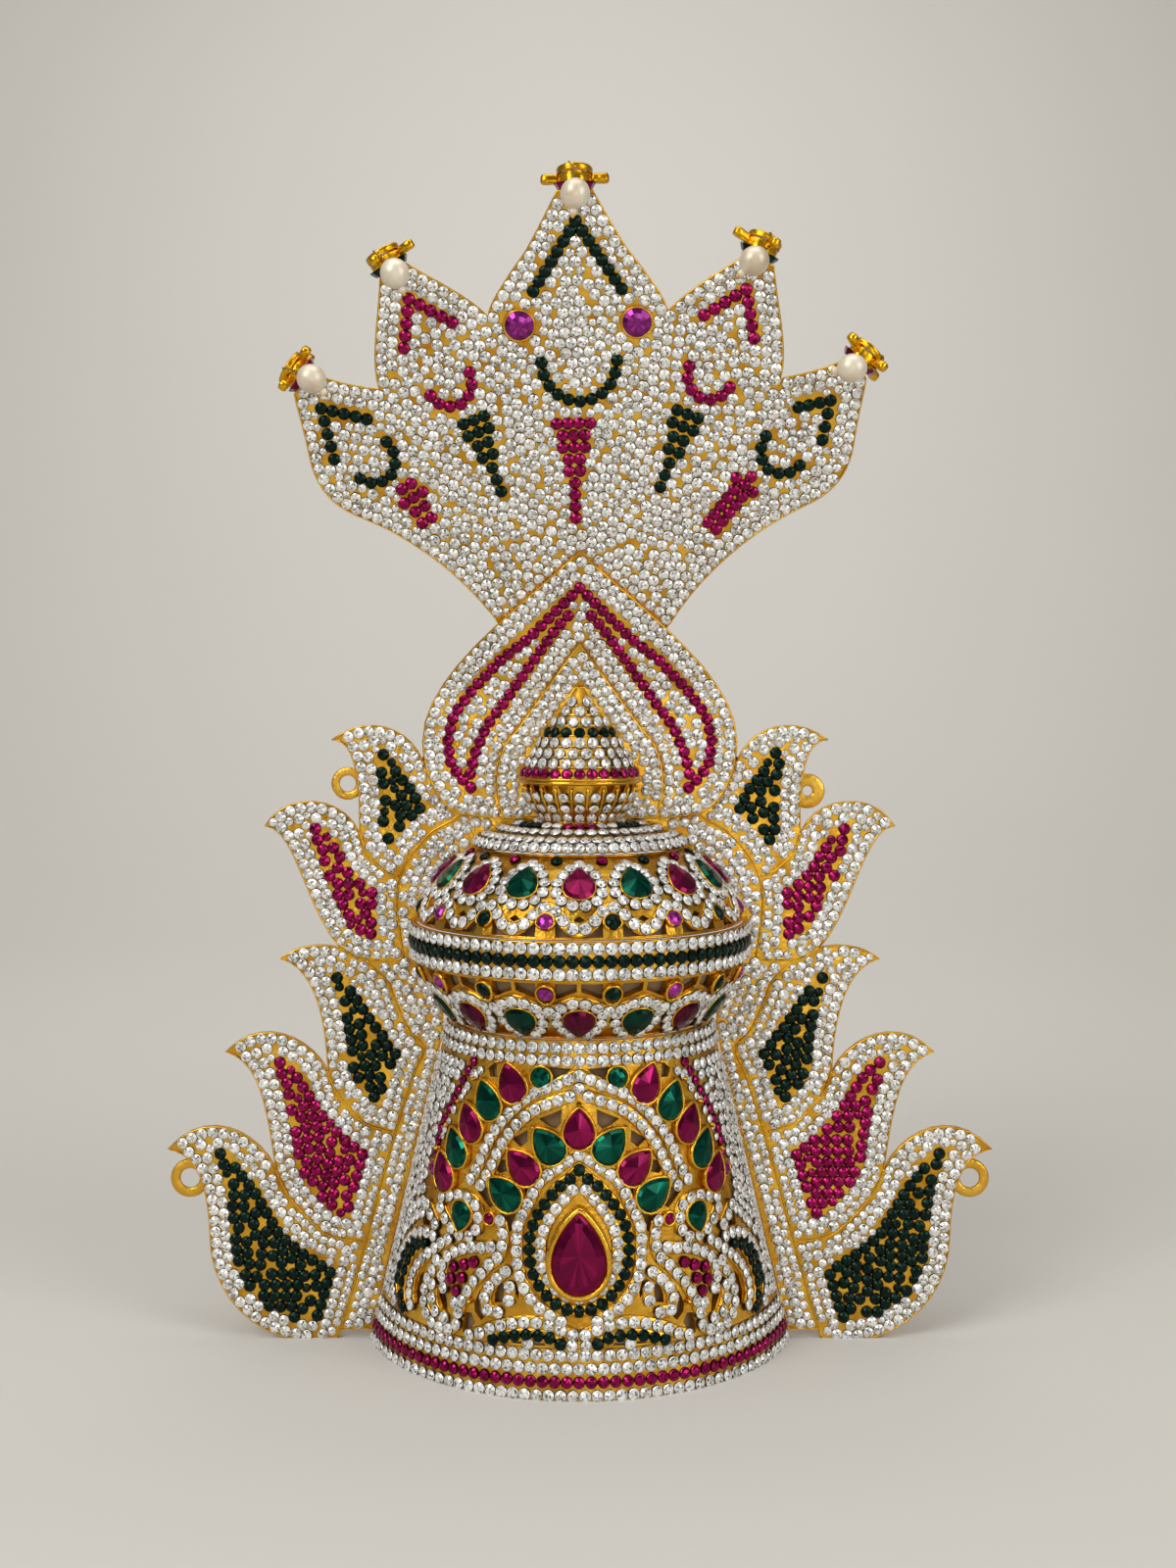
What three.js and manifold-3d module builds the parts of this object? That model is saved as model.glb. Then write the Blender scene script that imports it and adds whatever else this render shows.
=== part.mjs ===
// Half crown with a five-headed serpent hood: a pierced, open-backed body and onion bulge
// in front of flame-leaf flanks, a heart-shaped plate and a hood that leans forward.
// Millimetres, +Z up, the wearer's face towards -Y, standing on its rim.
import * as THREE from "three";
import { mergeVertices } from "three/addons/utils/BufferGeometryUtils.js";
import Module from "manifold-3d";

const wasm = await Module();
wasm.setup();

// ---------------------------------------------------------------- driving dimensions

const GAP = 0.3; // air left between pieces that touch
const SHEET = 1.6; // cast plates behind the crown
const WALL = 1.4; // pierced walls of the body and the bulge

const BAND_HEIGHT = 14; // four stone rows round the rim
const NECK_Z = 87; // the body tapers from the rim to here
const RIM = { halfWidth: 58.8, depth: 44.8 }; // section of the body at the rim
const NECK = { halfWidth: 38, depth: 37 }; // and at the neck
const BODY_TOP = 91.7;
const LEDGE = { depth: 4, height: 1.5 }; // inner ledge that carries the bulge

const BELT = { bottom: 109, top: 119, radius: 46.8, thick: 1.2 }; // stone belt round the bulge
const REPEAT = Math.PI / 8; // one pear and one round stone of the bulge

const LEAN_Z = 184; // above this the back plates lean forward
const LEAN = 0.367; // and by this much for each millimetre of height
const HOOD_ROLL = THREE.MathUtils.degToRad(1.5); // the hood is soldered a little askew
const HOOD_ROLL_Z = 200;
const HOOD_SHIFT = 1.8; // and a little to the right

const PLATE_STEP = SHEET + 0.4; // each back plate stands this far in front of the next
const SPIRE_AXIS_Y = -2 * PLATE_STEP - 0.5; // the finial is half round, on the arch plate

const PEARL_RADIUS = 3.75;
const LUGS = { reach: 8.8, half: 1.3, height: 2.3 }; // three lugs of a rosette
const CUP = { radius: 4.5, wall: 0.9, height: 1.6, floor: 1.1 };
const COLLET = { radius: 4.65, wall: 0.75, bottom: 2.2, top: 3.5 }; // ring on the lugs
const TIP_STONE = { wide: 5.4, narrow: 4.4, depth: 1.6, sunk: 0.3 }; // under the cup

// ---------------------------------------------------------------- finishes

const finish = (color, roughness, metalness) =>
  new THREE.MeshStandardMaterial({ color, roughness, metalness });
const gold = finish(0xd9a52b, 0.3, 1);
const ruby = finish(0x9c1140, 0.08, 0);
const emerald = finish(0x0b5b3c, 0.08, 0);
const violet = finish(0x8a2a86, 0.08, 0);
const pearl = finish(0xe9dfcd, 0.25, 0);

// ---------------------------------------------------------------- making solids

const crown = new THREE.Group();

function solid(geometry) {
  const bare = geometry.clone();
  for (const name of Object.keys(bare.attributes)) {
    if (name !== "position") bare.deleteAttribute(name);
  }
  const merged = mergeVertices(bare, 1e-4);
  return new wasm.Manifold(
    new wasm.Mesh({
      numProp: 3,
      vertProperties: new Float32Array(merged.attributes.position.array),
      triVerts: new Uint32Array(merged.index.array),
    }),
  );
}

function add(name, material, body) {
  const mesh = body.getMesh();
  const geometry = new THREE.BufferGeometry();
  geometry.setAttribute("position", new THREE.BufferAttribute(mesh.vertProperties, 3));
  geometry.setIndex(new THREE.BufferAttribute(mesh.triVerts, 1));
  const piece = new THREE.Mesh(geometry, material);
  piece.name = name;
  crown.add(piece);
}

// A closed wall over a grid: point(u, v, w) with u and v from 0 to 1, w 0 outside, 1 inside.
function wall(point, columns, rows) {
  const positions = [];
  const index = [];
  const at = (i, j, w) => (w * (rows + 1) + j) * (columns + 1) + i;
  const quad = (a, b, c, d) => index.push(a, b, c, a, c, d);
  for (let w = 0; w <= 1; w++) {
    for (let j = 0; j <= rows; j++) {
      for (let i = 0; i <= columns; i++) positions.push(...point(i / columns, j / rows, w));
    }
  }
  for (let j = 0; j < rows; j++) {
    for (let i = 0; i < columns; i++) {
      quad(at(i, j, 0), at(i + 1, j, 0), at(i + 1, j + 1, 0), at(i, j + 1, 0));
      quad(at(i, j, 1), at(i, j + 1, 1), at(i + 1, j + 1, 1), at(i + 1, j, 1));
    }
    quad(at(0, j, 1), at(0, j, 0), at(0, j + 1, 0), at(0, j + 1, 1));
    quad(at(columns, j, 0), at(columns, j, 1), at(columns, j + 1, 1), at(columns, j + 1, 0));
  }
  for (let i = 0; i < columns; i++) {
    quad(at(i, 0, 1), at(i + 1, 0, 1), at(i + 1, 0, 0), at(i, 0, 0));
    quad(at(i, rows, 0), at(i + 1, rows, 0), at(i + 1, rows, 1), at(i, rows, 1));
  }
  const geometry = new THREE.BufferGeometry();
  geometry.setAttribute("position", new THREE.BufferAttribute(new Float32Array(positions), 3));
  geometry.setIndex(index);
  return solid(geometry);
}

// A flat plate in the XZ plane, its front face at y = front.
function plate(shape, front = 0, thickness = SHEET, steps = 10) {
  const geometry = new THREE.ExtrudeGeometry(shape, {
    depth: thickness,
    bevelEnabled: false,
    curveSegments: steps,
  });
  geometry.rotateX(Math.PI / 2);
  geometry.translate(0, front + thickness, 0);
  return solid(geometry);
}

// An outline lying on a surface, pushed from one height over it to another.
function stamp(outline, place, low, high) {
  const count = outline.length;
  const ccw = THREE.ShapeUtils.isClockWise(outline) ? [...outline].reverse() : outline;
  const positions = [];
  for (const height of [high, low]) {
    for (const point of ccw) positions.push(...place(point.x, point.y, height));
  }
  const index = [];
  for (const [a, b, c] of THREE.ShapeUtils.triangulateShape(ccw, [])) {
    index.push(a, b, c, count + a, count + c, count + b);
  }
  for (let i = 0; i < count; i++) {
    const next = (i + 1) % count;
    index.push(i, count + i, count + next, i, count + next, next);
  }
  const geometry = new THREE.BufferGeometry();
  geometry.setAttribute("position", new THREE.BufferAttribute(new Float32Array(positions), 3));
  geometry.setIndex(index);
  return solid(geometry);
}

const join = (bodies) => bodies.reduce((a, b) => a.add(b));
const cut = (body, cutters) => (cutters.length ? body.subtract(join(cutters)) : body);
const points = (rows) => rows.map(([x, y]) => new THREE.Vector2(x, y));
const mirrored = (rows) => rows.map(([x, y]) => [-x, y]);

// Outline of a pear-cut stone: round below, pointed above, turned by an angle.
const POINTEDNESS = 0.32;
function pearOutline(width, height, turn, u, z, count = 12) {
  const outline = [];
  for (let i = 0; i < count; i++) {
    const a = (i / count) * 2 * Math.PI;
    const narrow = 1 - POINTEDNESS * Math.max(0, Math.cos(a)) ** 1.5;
    const x = 0.5 * width * Math.sin(a) * narrow;
    const y = 0.5 * height * Math.cos(a);
    outline.push(
      new THREE.Vector2(
        u + x * Math.cos(turn) + y * Math.sin(turn),
        z - x * Math.sin(turn) + y * Math.cos(turn),
      ),
    );
  }
  return outline;
}

// ---------------------------------------------------------------- body wall

// The body's section at a height is an arc from (halfWidth, 0) through (0, -depth).
function bodySection(z) {
  const t = z / NECK_Z;
  const halfWidth = RIM.halfWidth + (NECK.halfWidth - RIM.halfWidth) * t;
  const depth = RIM.depth + (NECK.depth - RIM.depth) * t;
  const radius = (halfWidth ** 2 + depth ** 2) / (2 * depth);
  const half = Math.asin(Math.min(1, halfWidth / radius));
  return { radius, centre: radius - depth, half };
}

// A place on the body: u along the arc from the middle, at height z, out from the wall.
function onBody(u, z, out) {
  const section = bodySection(z);
  const angle = u / section.radius;
  const r = section.radius + out;
  return [r * Math.sin(angle), section.centre - r * Math.cos(angle), z];
}

function bodyWall(bottom, top, depth, columns, rows) {
  return wall(
    (u, v, w) => {
      const z = bottom + (top - bottom) * v;
      const { radius, half } = bodySection(z);
      return onBody((2 * u - 1) * half * radius, z, -depth * w);
    },
    columns,
    rows,
  );
}

const BODY_COLUMNS = 28;
add("base_band", gold, bodyWall(0, BAND_HEIGHT - GAP, WALL, BODY_COLUMNS, 1));

// Openings of the right half, as outlines of (u, z); the left half mirrors them.
const BODY_OPENINGS = {
  besideArchTip: [[1.8, 84.6], [8.6, 85], [7.8, 80.4], [4.2, 83]],
  outsideFirstPear: [[25.9, 83.2], [23.3, 85.3], [22.9, 81.1], [25.3, 81]],
  overFirstFan: [[10.6, 71.6], [4.6, 74.2], [4.7, 70.7], [6, 69.2], [8.2, 70]],
  overSecondFan: [[18.1, 65.9], [13.8, 68.6], [13.6, 65.6], [15.7, 64]],
  overThirdFan: [[18.8, 60.9], [21.4, 60], [22.6, 57.6], [21.8, 56.7], [19, 57.6]],
  underArchFoot: [[24.9, 53.4], [28.6, 51.4], [25.6, 48.6], [24.4, 47.6], [22.6, 48.8], [24.4, 50.2]],
  betweenFans: [[14.5, 54.4], [11, 55.2], [12.7, 52.4], [14.2, 52]],
  besideTearTop: [[19.6, 46.8], [16.6, 47.2], [17.5, 43.8], [18.7, 41.8]],
  besideLastPear: [[42.3, 50], [46.3, 50.3], [45.7, 48.4], [43.1, 48.6]],
  behindSpur: [[48.3, 42], [50.4, 42], [50.5, 38.9], [48.7, 37.7], [46, 39]],
  chest: [[25.5, 26], [27.2, 26.3], [28.8, 23], [28.6, 21], [26.6, 19], [25, 20.4]],
  chestFoot: [[29.6, 20.4], [31.5, 20.2], [32.1, 17.8], [32.3, 15], [30.6, 15], [28.4, 18.2]],
  foliateInner: [[15.6, 29.7], [16.8, 30.3], [16.9, 27.5], [16, 25.6]],
  foliateOuter: [[19.9, 28.8], [21.2, 29.3], [22.6, 26.2], [22.7, 24], [20.4, 24.4]],
  underWing: [[38.2, 23.7], [40.7, 25.3], [41, 22.9], [39.2, 19.8], [37.6, 19]],
  besideTail: [[47.6, 27.6], [49.6, 25.6], [50.8, 21.6], [50.2, 18], [48.8, 18.6], [48.6, 22.8]],
  lowArchInner: [[8.6, 14.5], [12, 14.5], [11.8, 15.5], [9.4, 15.4]],
  lowArchOuter: [[15, 14.5], [21.2, 14.5], [18.8, 15.4], [15.2, 15.6]],
  betweenLowArches: [[0.15, 15.6], [0.15, 18.8], [1.5, 18.9], [1.2, 17]],
};

const bodyCutters = [];
for (const rows of Object.values(BODY_OPENINGS)) {
  for (const side of [rows, mirrored(rows)]) {
    bodyCutters.push(stamp(points(side), onBody, -WALL - 1, 1));
  }
}
const ledge = bodyWall(BODY_TOP - LEDGE.height, BODY_TOP, LEDGE.depth, BODY_COLUMNS, 1);
add(
  "body_shell",
  gold,
  cut(bodyWall(BAND_HEIGHT, BODY_TOP, WALL, BODY_COLUMNS, 4), bodyCutters).add(ledge),
);

// Pear stones of the body in their bezels, by place, turn from upright, and size.
const FAN_PEARS = [
  { u: 0, z: 69.6, turn: 0, material: ruby },
  { u: 8.1, z: 65.2, turn: 38, material: emerald },
  { u: 14.9, z: 59.4, turn: 44, material: ruby },
  { u: 19.9, z: 52.2, turn: 52, material: emerald },
];
const OUTER_PEARS = [
  { u: 18, z: 80.4, turn: 18, material: ruby },
  { u: 25.4, z: 75.2, turn: 22, material: emerald },
  { u: 31.2, z: 68.6, turn: 22, material: ruby },
  { u: 36.2, z: 61.4, turn: 22, material: emerald },
  { u: 40.8, z: 54.4, turn: 20, material: ruby },
];
const SWAN_PEARS = [{ u: 33.1, z: 44.4, turn: 168, material: emerald }];
const PEAR = { width: 7, height: 9.6, proud: 2.2 };
const SWAN_PEAR = { width: 6.2, height: 7.6, proud: 2.2 };
const CENTRE_PEAR = { width: 15.4, height: 22, z: 38.4, back: 1, proud: 4 };

function pearStone(name, spec, size, side) {
  const turn = THREE.MathUtils.degToRad(spec.turn) * side;
  const outline = pearOutline(size.width, size.height, turn, spec.u * side, spec.z);
  add(name, spec.material, stamp(outline, onBody, GAP, GAP + size.proud));
}

for (const [group, specs, size] of [
  ["fan_pear", FAN_PEARS, PEAR],
  ["outer_pear", OUTER_PEARS, PEAR],
  ["swan_pear", SWAN_PEARS, SWAN_PEAR],
]) {
  specs.forEach((spec, i) => {
    if (spec.u === 0) {
      pearStone(`${group}_middle`, spec, size, 1);
      return;
    }
    pearStone(`${group}_left_${i + 1}`, spec, size, -1);
    pearStone(`${group}_right_${i + 1}`, spec, size, 1);
  });
}
add(
  "centre_pear",
  ruby,
  stamp(
    pearOutline(CENTRE_PEAR.width, CENTRE_PEAR.height, 0, 0, CENTRE_PEAR.z, 18),
    onBody,
    CENTRE_PEAR.back,
    CENTRE_PEAR.proud,
  ),
);

// ---------------------------------------------------------------- bulge

// Rows of a half-round wall, bottom to top: outer radius and height.
const BOWL = [
  { r: 34.2, z: 92 },
  { r: 37.8, z: 96 },
  { r: 41.4, z: 100.8 },
  { r: 44, z: 105.4 },
  { r: 45.4, z: 108.7 },
];
const DOME = [
  { r: 45.4, z: 119.3 },
  { r: 44.3, z: 123 },
  { r: 41.6, z: 127.8 },
  { r: 38, z: 132.2 },
  { r: 33.6, z: 136 },
  { r: 28.4, z: 139.4 },
];
const COLLAR = [
  { r: 29.4, z: 140.4 },
  { r: 28.6, z: 141.8 },
  { r: 22, z: 144.6 },
  { r: 16, z: 146.4 },
  { r: 9, z: 146.6 },
];
const BULGE_COLUMNS = 32;

// The point of a profile at v from 0 to 1, with its outward normal.
function alongProfile(profile, v) {
  const last = profile.length - 1;
  const i = Math.min(Math.floor(v * last), last - 1);
  const t = v * last - i;
  const [a, b] = [profile[i], profile[i + 1]];
  const slope = (j) => {
    const low = profile[Math.max(0, j - 1)];
    const high = profile[Math.min(last, j + 1)];
    const length = Math.hypot(high.r - low.r, high.z - low.z);
    return { r: (high.z - low.z) / length, z: (low.r - high.r) / length };
  };
  const [na, nb] = [slope(i), slope(i + 1)];
  return {
    r: a.r + (b.r - a.r) * t,
    z: a.z + (b.z - a.z) * t,
    nr: na.r + (nb.r - na.r) * t,
    nz: na.z + (nb.z - na.z) * t,
  };
}

// A place on a half-round wall: angle from the front, v up the profile, out from it.
const onRound = (profile) => (angle, v, out) => {
  const p = alongProfile(profile, v);
  const r = p.r + p.nr * out;
  return [r * Math.sin(angle), -GAP - r * Math.cos(angle), p.z + p.nz * out];
};

function roundWall(profile, thickness) {
  const place = onRound(profile);
  const rows = profile.length - 1;
  return wall((u, v, w) => place((u - 0.5) * Math.PI, v, -thickness * w), BULGE_COLUMNS, rows);
}

// Openings of one scallop, as angles from its round stone and heights: two beside the stone,
// between the belt and the scallop, and a slit over the dip to the next scallop.
function scallopCutters(profile, beside, slit) {
  const overDip = [[-0.038, slit], [0, slit - 0.03], [0.038, slit], [0, slit + 0.04]];
  const cutters = [];
  const pierce = (middle, side, outline) => {
    const placed = outline.map(([a, v]) => [middle + side * a, v]);
    cutters.push(stamp(points(placed), onRound(profile), -WALL - 1, 1));
  };
  for (let k = -4; k < 4; k++) {
    pierce((k + 0.5) * REPEAT, -1, beside);
    pierce((k + 0.5) * REPEAT, 1, beside);
    if (slit && k > -4) pierce(k * REPEAT, 1, overDip);
  }
  return cutters;
}

const BOWL_OPENING = [
  [0.058, 0.66], [0.058, 0.95], [0.184, 0.95], [0.184, 0.78], [0.125, 0.72], [0.09, 0.68],
];
const DOME_OPENING = [
  [0.058, 0.24], [0.058, 0.035], [0.184, 0.035], [0.184, 0.06], [0.125, 0.13], [0.09, 0.19],
];
add("bulge_bowl", gold, cut(roundWall(BOWL, WALL), scallopCutters(BOWL, BOWL_OPENING)));
add("bulge_dome", gold, cut(roundWall(DOME, WALL), scallopCutters(DOME, DOME_OPENING, 0.25)));
const BELT_PROFILE = [
  { r: BELT.radius, z: BELT.bottom },
  { r: BELT.radius, z: BELT.top },
];
add("belt_ring", gold, roundWall(BELT_PROFILE, BELT.thick));
add("lotus_collar", gold, roundWall(COLLAR, 1));

// Seven pear stones round the bulge, joined by the strip that their bezels stand on.
const RING_PEARS = 3; // to each side of the middle one
const RING_PEAR = { angle: 0.2, proud: 2 };
const RING_STRIP = { height: 0.06, proud: 0.8 };

function pearRing(name, profile, middle, span, strip) {
  const place = onRound(profile);
  const bodies = [];
  for (let k = -RING_PEARS; k <= RING_PEARS; k++) {
    const outline = pearOutline(RING_PEAR.angle, span, 0, k * REPEAT, middle, 10);
    bodies.push(stamp(outline, place, GAP, GAP + RING_PEAR.proud));
  }
  const reach = RING_PEARS * REPEAT;
  const point = (u, v, w) =>
    place((2 * u - 1) * reach, strip + RING_STRIP.height * v, GAP + RING_STRIP.proud * (1 - w));
  bodies.push(wall(point, 24, 1));
  add(name, ruby, join(bodies));
}
pearRing("dome_pear_ring", DOME, 0.62, 0.34, 0.5);
pearRing("bowl_pear_ring", BOWL, 0.34, -0.42, 0.42);

// ---------------------------------------------------------------- finial

const GALLERY = [
  { r: 10.6, z: 146.9 },
  { r: 11.2, z: 148.6 },
  { r: 13.6, z: 151.4 },
  { r: 15.2, z: 154.4 },
  { r: 15.8, z: 157.6 },
];
const SPIRE = [
  { r: 16.3, z: 157.9 },
  { r: 16.3, z: 159.2 },
  { r: 14.2, z: 163 },
  { r: 11.4, z: 168.4 },
  { r: 8.2, z: 172.8 },
  { r: 4.6, z: 178 },
  { r: 1.2, z: 183.6 },
];
const RIBS = 11;
const RIB_NOTCH = { half: 1.5, top: 157.2, tip: 153.4, radius: 16.5, depth: 3.6 };

// A half-round solid on the finial's axis, flat where it meets the arch plate.
function halfTurned(profile, segments) {
  const last = profile[profile.length - 1];
  const rows = [[0, profile[0].z], ...profile.map(({ r, z }) => [r, z]), [0, last.z]];
  const geometry = new THREE.LatheGeometry(points(rows), segments);
  geometry.rotateX(Math.PI / 2);
  const width = 4 * profile[0].r;
  const back = new THREE.BoxGeometry(width, width, 2 * (last.z - profile[0].z));
  back.translate(0, 0.5 * width, 0.5 * (last.z + profile[0].z));
  const axis = new THREE.Vector3(0, SPIRE_AXIS_Y, 0);
  return solid(geometry).subtract(solid(back)).translate(axis.toArray());
}

const galleryCutters = [];
for (let i = 0; i < RIBS; i++) {
  const angle = ((i + 0.5) / RIBS - 0.5) * Math.PI;
  const { half, top, tip, radius, depth } = RIB_NOTCH;
  const notch = points([[-half, top], [half, top], [0, tip]]);
  const place = (x, z, out) => [
    (radius + out) * Math.sin(angle) + x * Math.cos(angle),
    SPIRE_AXIS_Y - (radius + out) * Math.cos(angle) + x * Math.sin(angle),
    z,
  ];
  galleryCutters.push(stamp(notch, place, -depth, 1));
}
add("finial_gallery", gold, cut(halfTurned(GALLERY, 32), galleryCutters));
add("finial_spire", gold, halfTurned(SPIRE, 32));

// ---------------------------------------------------------------- back plates

const SPACE = 400; // larger than the crown
// Leans a plate forward above LEAN_Z, as two flat parts that share the fold.
function leaned(body) {
  const part = (low, high) => {
    const box = new THREE.BoxGeometry(SPACE, SPACE, high - low);
    box.translate(0, 0, 0.5 * (low + high));
    return body.intersect(solid(box));
  };
  const rows = [
    [1, 0, 0, 0],
    [0, 1, -LEAN, LEAN * LEAN_Z],
    [0, 0, 1, 0],
    [0, 0, 0, 1],
  ];
  const shear = new THREE.Matrix4().set(...rows.flat());
  const upper = part(LEAN_Z, SPACE).transform(shear.elements);
  const lower = part(0, LEAN_Z);
  return lower.isEmpty() ? upper : lower.add(upper);
}

// Draws one half of an outline and its mirror image: each row is a curve's controls and end.
function symmetric(start, rows) {
  const shape = new THREE.Shape();
  shape.moveTo(...start);
  for (const { a, b, to } of rows) {
    if (a) shape.bezierCurveTo(...a, ...b, ...to);
    else shape.lineTo(...to);
  }
  const forward = [start, ...rows.map((row) => row.to)];
  for (let i = rows.length - 1; i >= 0; i--) {
    const [x, z] = forward[i];
    const { a, b } = rows[i];
    if (a) shape.bezierCurveTo(-b[0], b[1], -a[0], a[1], -x, z);
    else shape.lineTo(-x, z);
  }
  return shape;
}

const HEART_FOOT = 147.2;
const HEART = [
  { to: [24, HEART_FOOT] },
  { to: [31, 148] },
  { a: [38, 148], b: [44, 158], to: [44, 168.7] },
  { a: [44, 187], b: [20, 203], to: [0, 221] },
];
add("heart_plate", gold, leaned(plate(symmetric([0, HEART_FOOT], HEART), -PLATE_STEP)));

const ARCH_FOOT = 147.3;
const ARCH = [
  { to: [21, ARCH_FOOT] },
  { a: [24, 152], b: [25, 166], to: [17.5, 172] },
  { to: [0, 196.3] },
];
add("inner_arch", gold, leaned(plate(symmetric([0, ARCH_FOOT], ARCH), -2 * PLATE_STEP)));

// Hood of five heads: the right half from the foot to the middle tip.
const HOOD_FOOT = 189;
const HOOD = [
  { to: [12, HOOD_FOOT] },
  { to: [23.4, 201] },
  { a: [32, 214], b: [45, 225], to: [60, 231.5] },
  { a: [68, 234.5], b: [72, 240], to: [73, 247] },
  { a: [74, 255], b: [75.4, 260], to: [75.9, 263.8] },
  { to: [71, 269.6] },
  { a: [67, 267], b: [59, 265.3], to: [53.3, 264.6] },
  { a: [55.3, 272], b: [51.9, 283], to: [51.2, 291.9] },
  { to: [44.1, 295.3] },
  { a: [39, 291.8], b: [30, 288], to: [23.7, 282.1] },
  { a: [21.9, 286.6], b: [18.1, 291.3], to: [14, 296.2] },
  { a: [12.1, 298.5], b: [8.6, 304.4], to: [4.6, 311.3] },
  { to: [0, 311.3] },
];

const hoodTurn = new THREE.Matrix4()
  .makeTranslation(HOOD_SHIFT, 0, HOOD_ROLL_Z)
  .multiply(new THREE.Matrix4().makeRotationY(-HOOD_ROLL))
  .multiply(new THREE.Matrix4().makeTranslation(0, 0, -HOOD_ROLL_Z));
const leanAt = (z) => -LEAN * Math.max(0, z - LEAN_Z);
const hood = plate(symmetric([0, HOOD_FOOT], HOOD));
add("hood_plate", gold, leaned(hood.transform(hoodTurn.elements)));

// A place on the hood's front face, turned with it.
function onHood(x, z, out = 0) {
  const p = new THREE.Vector3(x, 0, z).applyMatrix4(hoodTurn);
  const lift = Math.hypot(1, LEAN);
  return new THREE.Vector3(p.x, leanAt(p.z) - out / lift, p.z - (out * LEAN) / lift);
}

// Two round stones in bezels, the eyes of the middle head.
const EYE = { x: 15.4, z: 279.4, radius: 4, girdle: 1.2, table: 2.6, height: 2.4 };
for (const [name, side] of [["hood_eye_left", -1], ["hood_eye_right", 1]]) {
  const { radius, girdle, table, height } = EYE;
  const profile = points([[0, 0], [radius, 0], [radius, girdle], [table, height], [0, height]]);
  const geometry = new THREE.LatheGeometry(profile, 16);
  geometry.rotateX(Math.atan(LEAN));
  geometry.rotateX(Math.PI);
  const foot = onHood(side * EYE.x, EYE.z, GAP);
  add(name, violet, solid(geometry).translate(foot.toArray()));
}

// ---------------------------------------------------------------- flanks of flame leaves

// Five leaves from the top: the curve up over the crest to the tip, then down to the notch,
// each as two control points and an end.
const LEAVES = [
  {
    up: [[48, 173], [60, 177], [69.8, 169]],
    down: [[64, 169.5], [61.5, 160], [62, 143.3]],
  },
  {
    up: [[67, 154], [83, 155], [88.6, 144.8]],
    down: [[80, 145], [77, 121], [67.5, 110.8]],
  },
  {
    up: [[72, 112], [79, 112], [84.3, 107.6]],
    down: [[75, 105.5], [71.5, 92], [70.8, 76.2]],
  },
  {
    up: [[76, 86], [90, 92], [99.6, 81.4]],
    down: [[90, 79], [88, 66], [85.5, 48.6]],
  },
  {
    up: [[91, 60], [106, 66], [115.8, 54]],
    down: [[108, 53], [104.5, 45], [104, 29.6]],
  },
];
// The rest of the edge: under the last leaf, along the body, round behind the bulge.
const FLANK_START = [44, 163.2];
const FLANK_FOOT = [[104, 13], [91, 0], [74, 0]];
const FLANK_INNER = [
  [67.8, 0.6], [67.4, 3.5], [58.4, 3.5], [38.4, 87], [38.4, 92.6], [43.4, 104.6], [45.8, 110],
  [45.8, 118], [41.2, 128.4], [33, 136.2], [27.4, 138], [0.15, 138], [0.15, 162.4],
];

function flank(side) {
  const shape = new THREE.Shape();
  const at = ([x, z]) => [side * x, z];
  shape.moveTo(...at(FLANK_START));
  for (const curve of [...LEAVES.flatMap(({ up, down }) => [up, down]), FLANK_FOOT]) {
    shape.bezierCurveTo(...curve.flatMap(at));
  }
  for (const point of FLANK_INNER) shape.lineTo(...at(point));
  return plate(shape);
}
add("flank_plate_left", gold, flank(-1));
add("flank_plate_right", gold, flank(1));

// Tie loops soldered behind the leaves: a washer with a tab that reaches in behind the leaf.
const LOOPS = [
  { name: "tie_loop_upper_left", x: -65.5, z: 156.7, radius: 4.6, hole: 2.3, tab: 8 },
  { name: "tie_loop_upper_right", x: 64.2, z: 154.6, radius: 4.9, hole: 1.4, tab: -8 },
  { name: "tie_loop_lower_left", x: -110, z: 45.4, radius: 5.4, hole: 2.75, tab: 10 },
  { name: "tie_loop_lower_right", x: 110, z: 45.4, radius: 5.4, hole: 2.75, tab: -10 },
];
const LOOP = { thick: 1.4, strap: 5, wall: 0.6 }; // the tab starts a wall's width off the hole
for (const { name, x, z, radius, hole, tab } of LOOPS) {
  const shape = new THREE.Shape();
  shape.absarc(x, z, radius, 0, 2 * Math.PI);
  shape.holes.push(new THREE.Path().absarc(x, z, hole, 0, 2 * Math.PI));
  const ring = plate(shape, SHEET + GAP, LOOP.thick, 12);
  const inner = x + Math.sign(tab) * (hole + LOOP.wall);
  const strap = new THREE.BoxGeometry(Math.abs(x + tab - inner), LOOP.thick, LOOP.strap);
  strap.translate(0.5 * (x + tab + inner), SHEET + GAP + 0.5 * LOOP.thick, z);
  add(name, gold, ring.add(solid(strap)));
}

// ---------------------------------------------------------------- rosettes and pearls

// The hood's five tips, left to right: place, how far the rosette turns outward, how far its
// lugs are turned round its own axis, how far it tips forward, how far its wire is turned round
// the axis, and which way the seed pearl hangs.
const TIPS = [
  { x: -72.4, z: 267.9, turn: -56, spin: -133, tilt: -3, hook: -4, hang: 43 },
  { x: -47.9, z: 293.6, turn: -29, spin: -110, tilt: -2, hook: -8, hang: 24 },
  { x: 0.1, z: 311.3, turn: 0, spin: 0, tilt: 8, hook: -4, hang: -6 },
  { x: 46.6, z: 294.2, turn: 27, spin: 112, tilt: 7, hook: 22, hang: -45 },
  { x: 73, z: 267.3, turn: 45, spin: -135, tilt: 5, hook: 68, hang: -82 },
];

// A lathed body that stands on +Z.
function turned(profile, sides) {
  const geometry = new THREE.LatheGeometry(points(profile), sides);
  geometry.rotateX(Math.PI / 2);
  return solid(geometry);
}

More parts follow.
